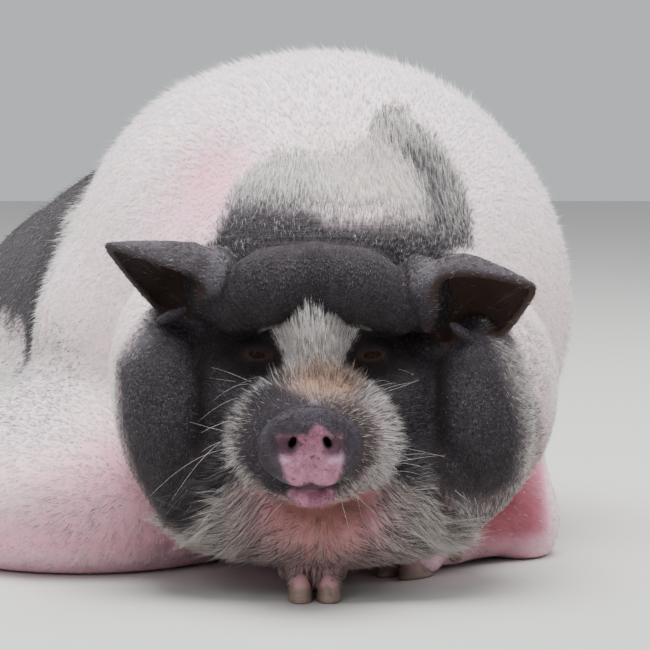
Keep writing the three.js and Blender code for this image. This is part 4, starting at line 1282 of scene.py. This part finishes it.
def coat_tree():
    tree = bpy.data.node_groups.new("coat", "GeometryNodeTree")
    panel = tree.interface
    panel.new_socket("Geometry", in_out="INPUT", socket_type="NodeSocketGeometry")
    for name, kind in (
        ("Tufts", "Collection"), ("Area", "Int"), ("Map", "String"), ("Per square metre", "Float"),
        ("Stray", "Float"), ("Breadth", "Float"), ("Seed", "Int"), ("Material", "Material"),
    ):
        panel.new_socket(name, in_out="INPUT", socket_type="NodeSocket" + kind)
    panel.new_socket("Geometry", in_out="OUTPUT", socket_type="NodeSocketGeometry")
    into = node(tree, "NodeGroupInput")
    link = tree.links.new

    def named(name, kind="FLOAT"):
        n = node(tree, "GeometryNodeInputNamedAttribute", data_type=kind)
        feed(tree, n.inputs["Name"], name)
        return n.outputs["Attribute"]

    def vector(operation, *values):
        n = node(tree, "ShaderNodeVectorMath", operation=operation)
        ends = [n.inputs[0], n.inputs[3]] if operation == "SCALE" else n.inputs
        for socket, value in zip(ends, values):
            feed(tree, socket, value)
        return n.outputs["Vector"]

    def chance(low, high, seed):
        n = node(tree, "FunctionNodeRandomValue", data_type="FLOAT")
        n.inputs[2].default_value, n.inputs[3].default_value = low, high
        n.inputs["Seed"].default_value = seed
        return n.outputs[1]

    mine = node(tree, "FunctionNodeCompare", data_type="INT", operation="EQUAL")
    link(named("area", "INT"), mine.inputs[2])
    link(into.outputs["Area"], mine.inputs[3])
    scatter = node(tree, "GeometryNodeDistributePointsOnFaces", distribute_method="RANDOM")
    link(into.outputs["Geometry"], scatter.inputs["Mesh"])
    link(mine.outputs[0], scatter.inputs["Selection"])
    density = sums(tree, "MULTIPLY", named("thick"), into.outputs["Per square metre"])
    link(density, scatter.inputs["Density"])
    link(into.outputs["Seed"], scatter.inputs["Seed"])

    jitter = node(tree, "FunctionNodeRandomValue", data_type="FLOAT_VECTOR")
    jitter.inputs[0].default_value = (-1, -1, -1)
    jitter.inputs[1].default_value = (1, 1, 1)
    stand_up = vector("SCALE", scatter.outputs["Normal"], named("lift"))
    way = vector("ADD", named("lie", "FLOAT_VECTOR"), stand_up)
    way = vector("ADD", way, vector("SCALE", jitter.outputs[0], into.outputs["Stray"]))
    point = node(tree, "FunctionNodeAlignRotationToVector", axis="X")
    link(way, point.inputs["Vector"])
    stand = node(tree, "FunctionNodeAlignRotationToVector", axis="Z", pivot_axis="X")
    link(point.outputs[0], stand.inputs["Rotation"])
    link(scatter.outputs["Normal"], stand.inputs["Vector"])

    size = node(tree, "ShaderNodeCombineXYZ")
    length = sums(tree, "MULTIPLY", named("reach"), chance(SHORTEST / 1000, LONGEST / 1000, 3))
    link(length, size.inputs["X"])
    link(into.outputs["Breadth"], size.inputs["Y"])
    link(into.outputs["Breadth"], size.inputs["Z"])

    kinds = node(tree, "GeometryNodeCollectionInfo")
    kinds.inputs["Separate Children"].default_value = True
    kinds.inputs["Reset Children"].default_value = True
    link(into.outputs["Tufts"], kinds.inputs["Collection"])
    plant = node(tree, "GeometryNodeInstanceOnPoints")
    plant.inputs["Pick Instance"].default_value = True
    link(scatter.outputs["Points"], plant.inputs["Points"])
    link(kinds.outputs[0], plant.inputs["Instance"])
    link(stand.outputs[0], plant.inputs["Rotation"])
    link(size.outputs[0], plant.inputs["Scale"])

    tone = node(tree, "GeometryNodeStoreNamedAttribute", data_type="FLOAT", domain="INSTANCE")
    tone.inputs["Name"].default_value = "tone"
    link(plant.outputs[0], tone.inputs["Geometry"])
    link(chance(0, 1, 11), tone.inputs["Value"])
    real = node(tree, "GeometryNodeRealizeInstances")
    link(tone.outputs[0], real.inputs[0])

    # Each tuft is a small patch at its root's place on the map.
    bake = node(tree, "GeometryNodeStoreNamedAttribute", data_type="FLOAT2", domain="CORNER")
    bake.inputs["Name"].default_value = "OFBake"
    link(real.outputs[0], bake.inputs["Geometry"])
    patch = vector("SCALE", named("patch", "FLOAT_VECTOR"), PATCH)
    link(vector("ADD", named(into.outputs["Map"], "FLOAT_VECTOR"), patch), bake.inputs["Value"])
    last = bake.outputs[0]
    for name in ("patch", "head_map", "body_map", "lie", "reach", "thick", "lift", "area",
                 "nose", "nose_pink", "grain", "cover", "wrinkle"):
        drop = node(tree, "GeometryNodeRemoveAttribute")
        drop.inputs["Name"].default_value = name
        link(last, drop.inputs["Geometry"])
        last = drop.outputs[0]
    finish = node(tree, "GeometryNodeSetMaterial")
    link(last, finish.inputs["Geometry"])
    link(into.outputs["Material"], finish.inputs["Material"])
    out = node(tree, "NodeGroupOutput")
    link(finish.outputs[0], out.inputs[0])
    return tree


def bristle_material():
    material, tree, shader = shaded("bristles")
    painted = node(tree, "ShaderNodeGroup", node_tree=hair_group)
    own = sums(tree, "MULTIPLY", attribute(tree, "strand"), 0.8)
    tone = sums(tree, "ADD", own, sums(tree, "MULTIPLY", attribute(tree, "tone"), 0.2))
    tree.links.new(ramp(tree, tone, 0.06, 0.94), painted.inputs["Tone"])
    tree.links.new(attribute(tree, "along"), painted.inputs["Along"])
    tree.links.new(painted.outputs["Color"], shader.inputs["Base Color"])
    shader.inputs["Roughness"].default_value = 0.5
    shader.inputs["Specular IOR Level"].default_value = 0.3
    return material


bristles = bristle_material()
tree = coat_tree()
socket = {item.name: item.identifier for item in tree.interface.items_tree if item.in_out == "INPUT"}
for number, (name, (unwrap, kind, density, stray, breadth)) in enumerate(AREAS.items()):
    ground = shown("ground_" + name, skin_mesh)
    grow = ground.modifiers.new("coat", "NODES")
    grow.node_group = tree
    for key, value in (
        ("Tufts", tufts[kind]), ("Area", number), ("Map", unwrap),
        ("Per square metre", density * 10000.0), ("Stray", stray), ("Breadth", breadth / 1000),
        ("Seed", FIRST_SEED + number), ("Material", bristles),
    ):
        grow[socket[key]] = value
    graph = bpy.context.evaluated_depsgraph_get()
    hair_mesh = bpy.data.meshes.new_from_object(ground.evaluated_get(graph))
    bpy.data.objects.remove(ground)
    hair = shown("coat_" + name, hair_mesh)
    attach(hair, "root")
for name in (*growth, "area"):
    skin_mesh.attributes.remove(skin_mesh.attributes[name])


# ---------------------------------------------------------------------------------------------
# Whiskers and lashes. Stiff hairs that stand out one by one from the muzzle and chin and over
# the eyes, each a thin spike that bends down of its own weight.

WHISKERS = (
    # root in one half of the face, scatter about it, way, length, thickness, how pale, how many
    ((64, -28, -78), (12, 18, 28), (1.0, -0.30, 0.00), (40, 85), 0.17, 0.8, 14),
    ((60, -20, -36), (14, 12, 8), (0.8, -0.45, 0.40), (25, 50), 0.17, 0.8, 8),
    ((34, -62, -116), (22, 10, 8), (0.6, -0.40, -0.75), (25, 45), 0.16, 0.8, 8),
    ((60, -6, -22), (10, 6, 4), (0.5, -0.80, 0.40), (25, 45), 0.15, 0.7, 2),
    ((54, -12, 5), (13, 3, 1.5), (0.2, -1.00, -0.20), (9, 14), 0.28, 0.0, 24),
)
WHISKER_STAGES = 7
WHISKER_ROOT = 1.5              # under the skin
sprout = np.random.default_rng(11)
verts, faces, patches, roots, looks = [], [], [], [], []
for at, scatter, way, lengths, thickness, pale, count in WHISKERS:
    for n in range(count):
        mirror = np.array([1 if n % 2 else -1, 1, 1])
        spot = (np.array(at) + sprout.uniform(-1, 1, 3) * scatter) * mirror
        root = int(np.argmin(((seen - spot) ** 2).sum(1)))
        heading = np.array(way) * mirror + sprout.uniform(-0.45, 0.45, 3)
        heading /= np.linalg.norm(heading)
        bend = np.array([0.1 * mirror[0], 0.1, -0.5]) * sprout.uniform(-0.2, 1.4)
        span = sprout.uniform(*lengths)
        aside = np.cross(heading, (0.1, 0.2, 1))
        aside /= np.linalg.norm(aside)
        other = np.cross(heading, aside)
        first = len(verts)
        start = place[root] - WHISKER_ROOT * normal[root]
        for t in np.linspace(0, 1, WHISKER_STAGES)[:-1]:
            spine = start + span * (t * heading + t * t * bend)
            for a in np.radians((90, 210, 330)):
                wide = thickness * (1 - 0.8 * t)
                verts.append(spine + wide * (math.cos(a) * aside + math.sin(a) * other))
                looks.append((t, pale))
        verts.append(start + span * (heading + bend))
        looks.append((1, pale))
        faces.append((first + 2, first + 1, first))
        patches += [(0, 0), (0.5, 0), (1, 0)]
        for stage in range(WHISKER_STAGES - 1):
            v0, v1 = stage / WHISKER_STAGES, (stage + 1) / WHISKER_STAGES
            for s in range(3):
                low, right = first + 3 * stage + s, first + 3 * stage + (s + 1) % 3
                u0, u1 = s / 3, s / 3 + 0.3
                if stage < WHISKER_STAGES - 2:
                    faces.append((low, right, right + 3, low + 3))
                    patches += [(u0, v0), (u1, v0), (u1, v1), (u0, v1)]
                else:
                    faces.append((low, right, len(verts) - 1))
                    patches += [(u0, v0), (u1, v0), ((u0 + u1) / 2, v1)]
        roots += [root] * (len(patches) - len(roots))
whisker_mesh = bpy.data.meshes.new("coat_whiskers")
whisker_mesh.from_pydata([tuple(v / 1000) for v in verts], [], faces)
bake = head_map[roots, :2] + PATCH * np.array(patches)
whisker_mesh.uv_layers.new(name="OFBake").data.foreach_set("uv", bake.astype(np.float32).ravel())
looks = np.array(looks, np.float32)
store(whisker_mesh, "along", looks[:, 0])
store(whisker_mesh, "pale", looks[:, 1])
store(whisker_mesh, "strand", np.full(len(looks), 0.7))
whisker_mesh.shade_smooth()
whisker_mesh.materials.append(bristles)
whiskers = shown("coat_whiskers", whisker_mesh)
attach(whiskers, "root")


# ---------------------------------------------------------------------------------------------
# Studio: a plain pale floor, soft light from above, in front and behind, and the camera.

CAMERA_AT = (0.090, -3.660, 0.550)
CAMERA_DOWN = 5.3               # degrees below level
LENS, SENSOR = 192.6, 36        # millimetres
LIT = (0, -0.1, 0.2)            # what every lamp is turned to

floor = bpy.data.meshes.new("floor")
floor.from_pydata([(-6, -4, 0), (6, -4, 0), (6, 6, 0), (-6, 6, 0)], [], [(0, 1, 2, 3)])
floor_material, _, floor_shader = shaded("floor")
floor_shader.inputs["Base Color"].default_value = (0.52, 0.51, 0.49, 1)
floor_shader.inputs["Roughness"].default_value = 0.9
floor.materials.append(floor_material)
shown("floor", floor)

world = bpy.data.worlds.new("studio")
world.use_nodes = True
world.node_tree.nodes["Background"].inputs["Color"].default_value = (0.92, 0.95, 1.0, 1)
world.node_tree.nodes["Background"].inputs["Strength"].default_value = 0.62
bpy.context.scene.world = world
for name, spot, size, power in (
    ("sky", (0.2, -0.6, 3.2), 2.6, 250),
    ("front", (-1.6, -3.2, 2.2), 1.6, 26),
    ("back_left", (-2.4, 1.6, 1.6), 1.4, 85),
    ("back_right", (2.4, 1.6, 1.6), 1.4, 45),
):
    lamp = bpy.data.lights.new(name, "AREA")
    lamp.energy = power
    lamp.size = size
    lamp_object = shown(name, lamp)
    lamp_object.location = spot
    towards = Vector(LIT) - Vector(spot)
    lamp_object.rotation_euler = towards.to_track_quat("-Z", "Y").to_euler()

camera = bpy.data.cameras.new("camera")
camera.sensor_width = SENSOR
camera.lens = LENS
camera_object = shown("camera", camera)
camera_object.location = CAMERA_AT
camera_object.rotation_euler = (math.radians(90 - CAMERA_DOWN), 0, 0)
bpy.context.scene.camera = camera_object
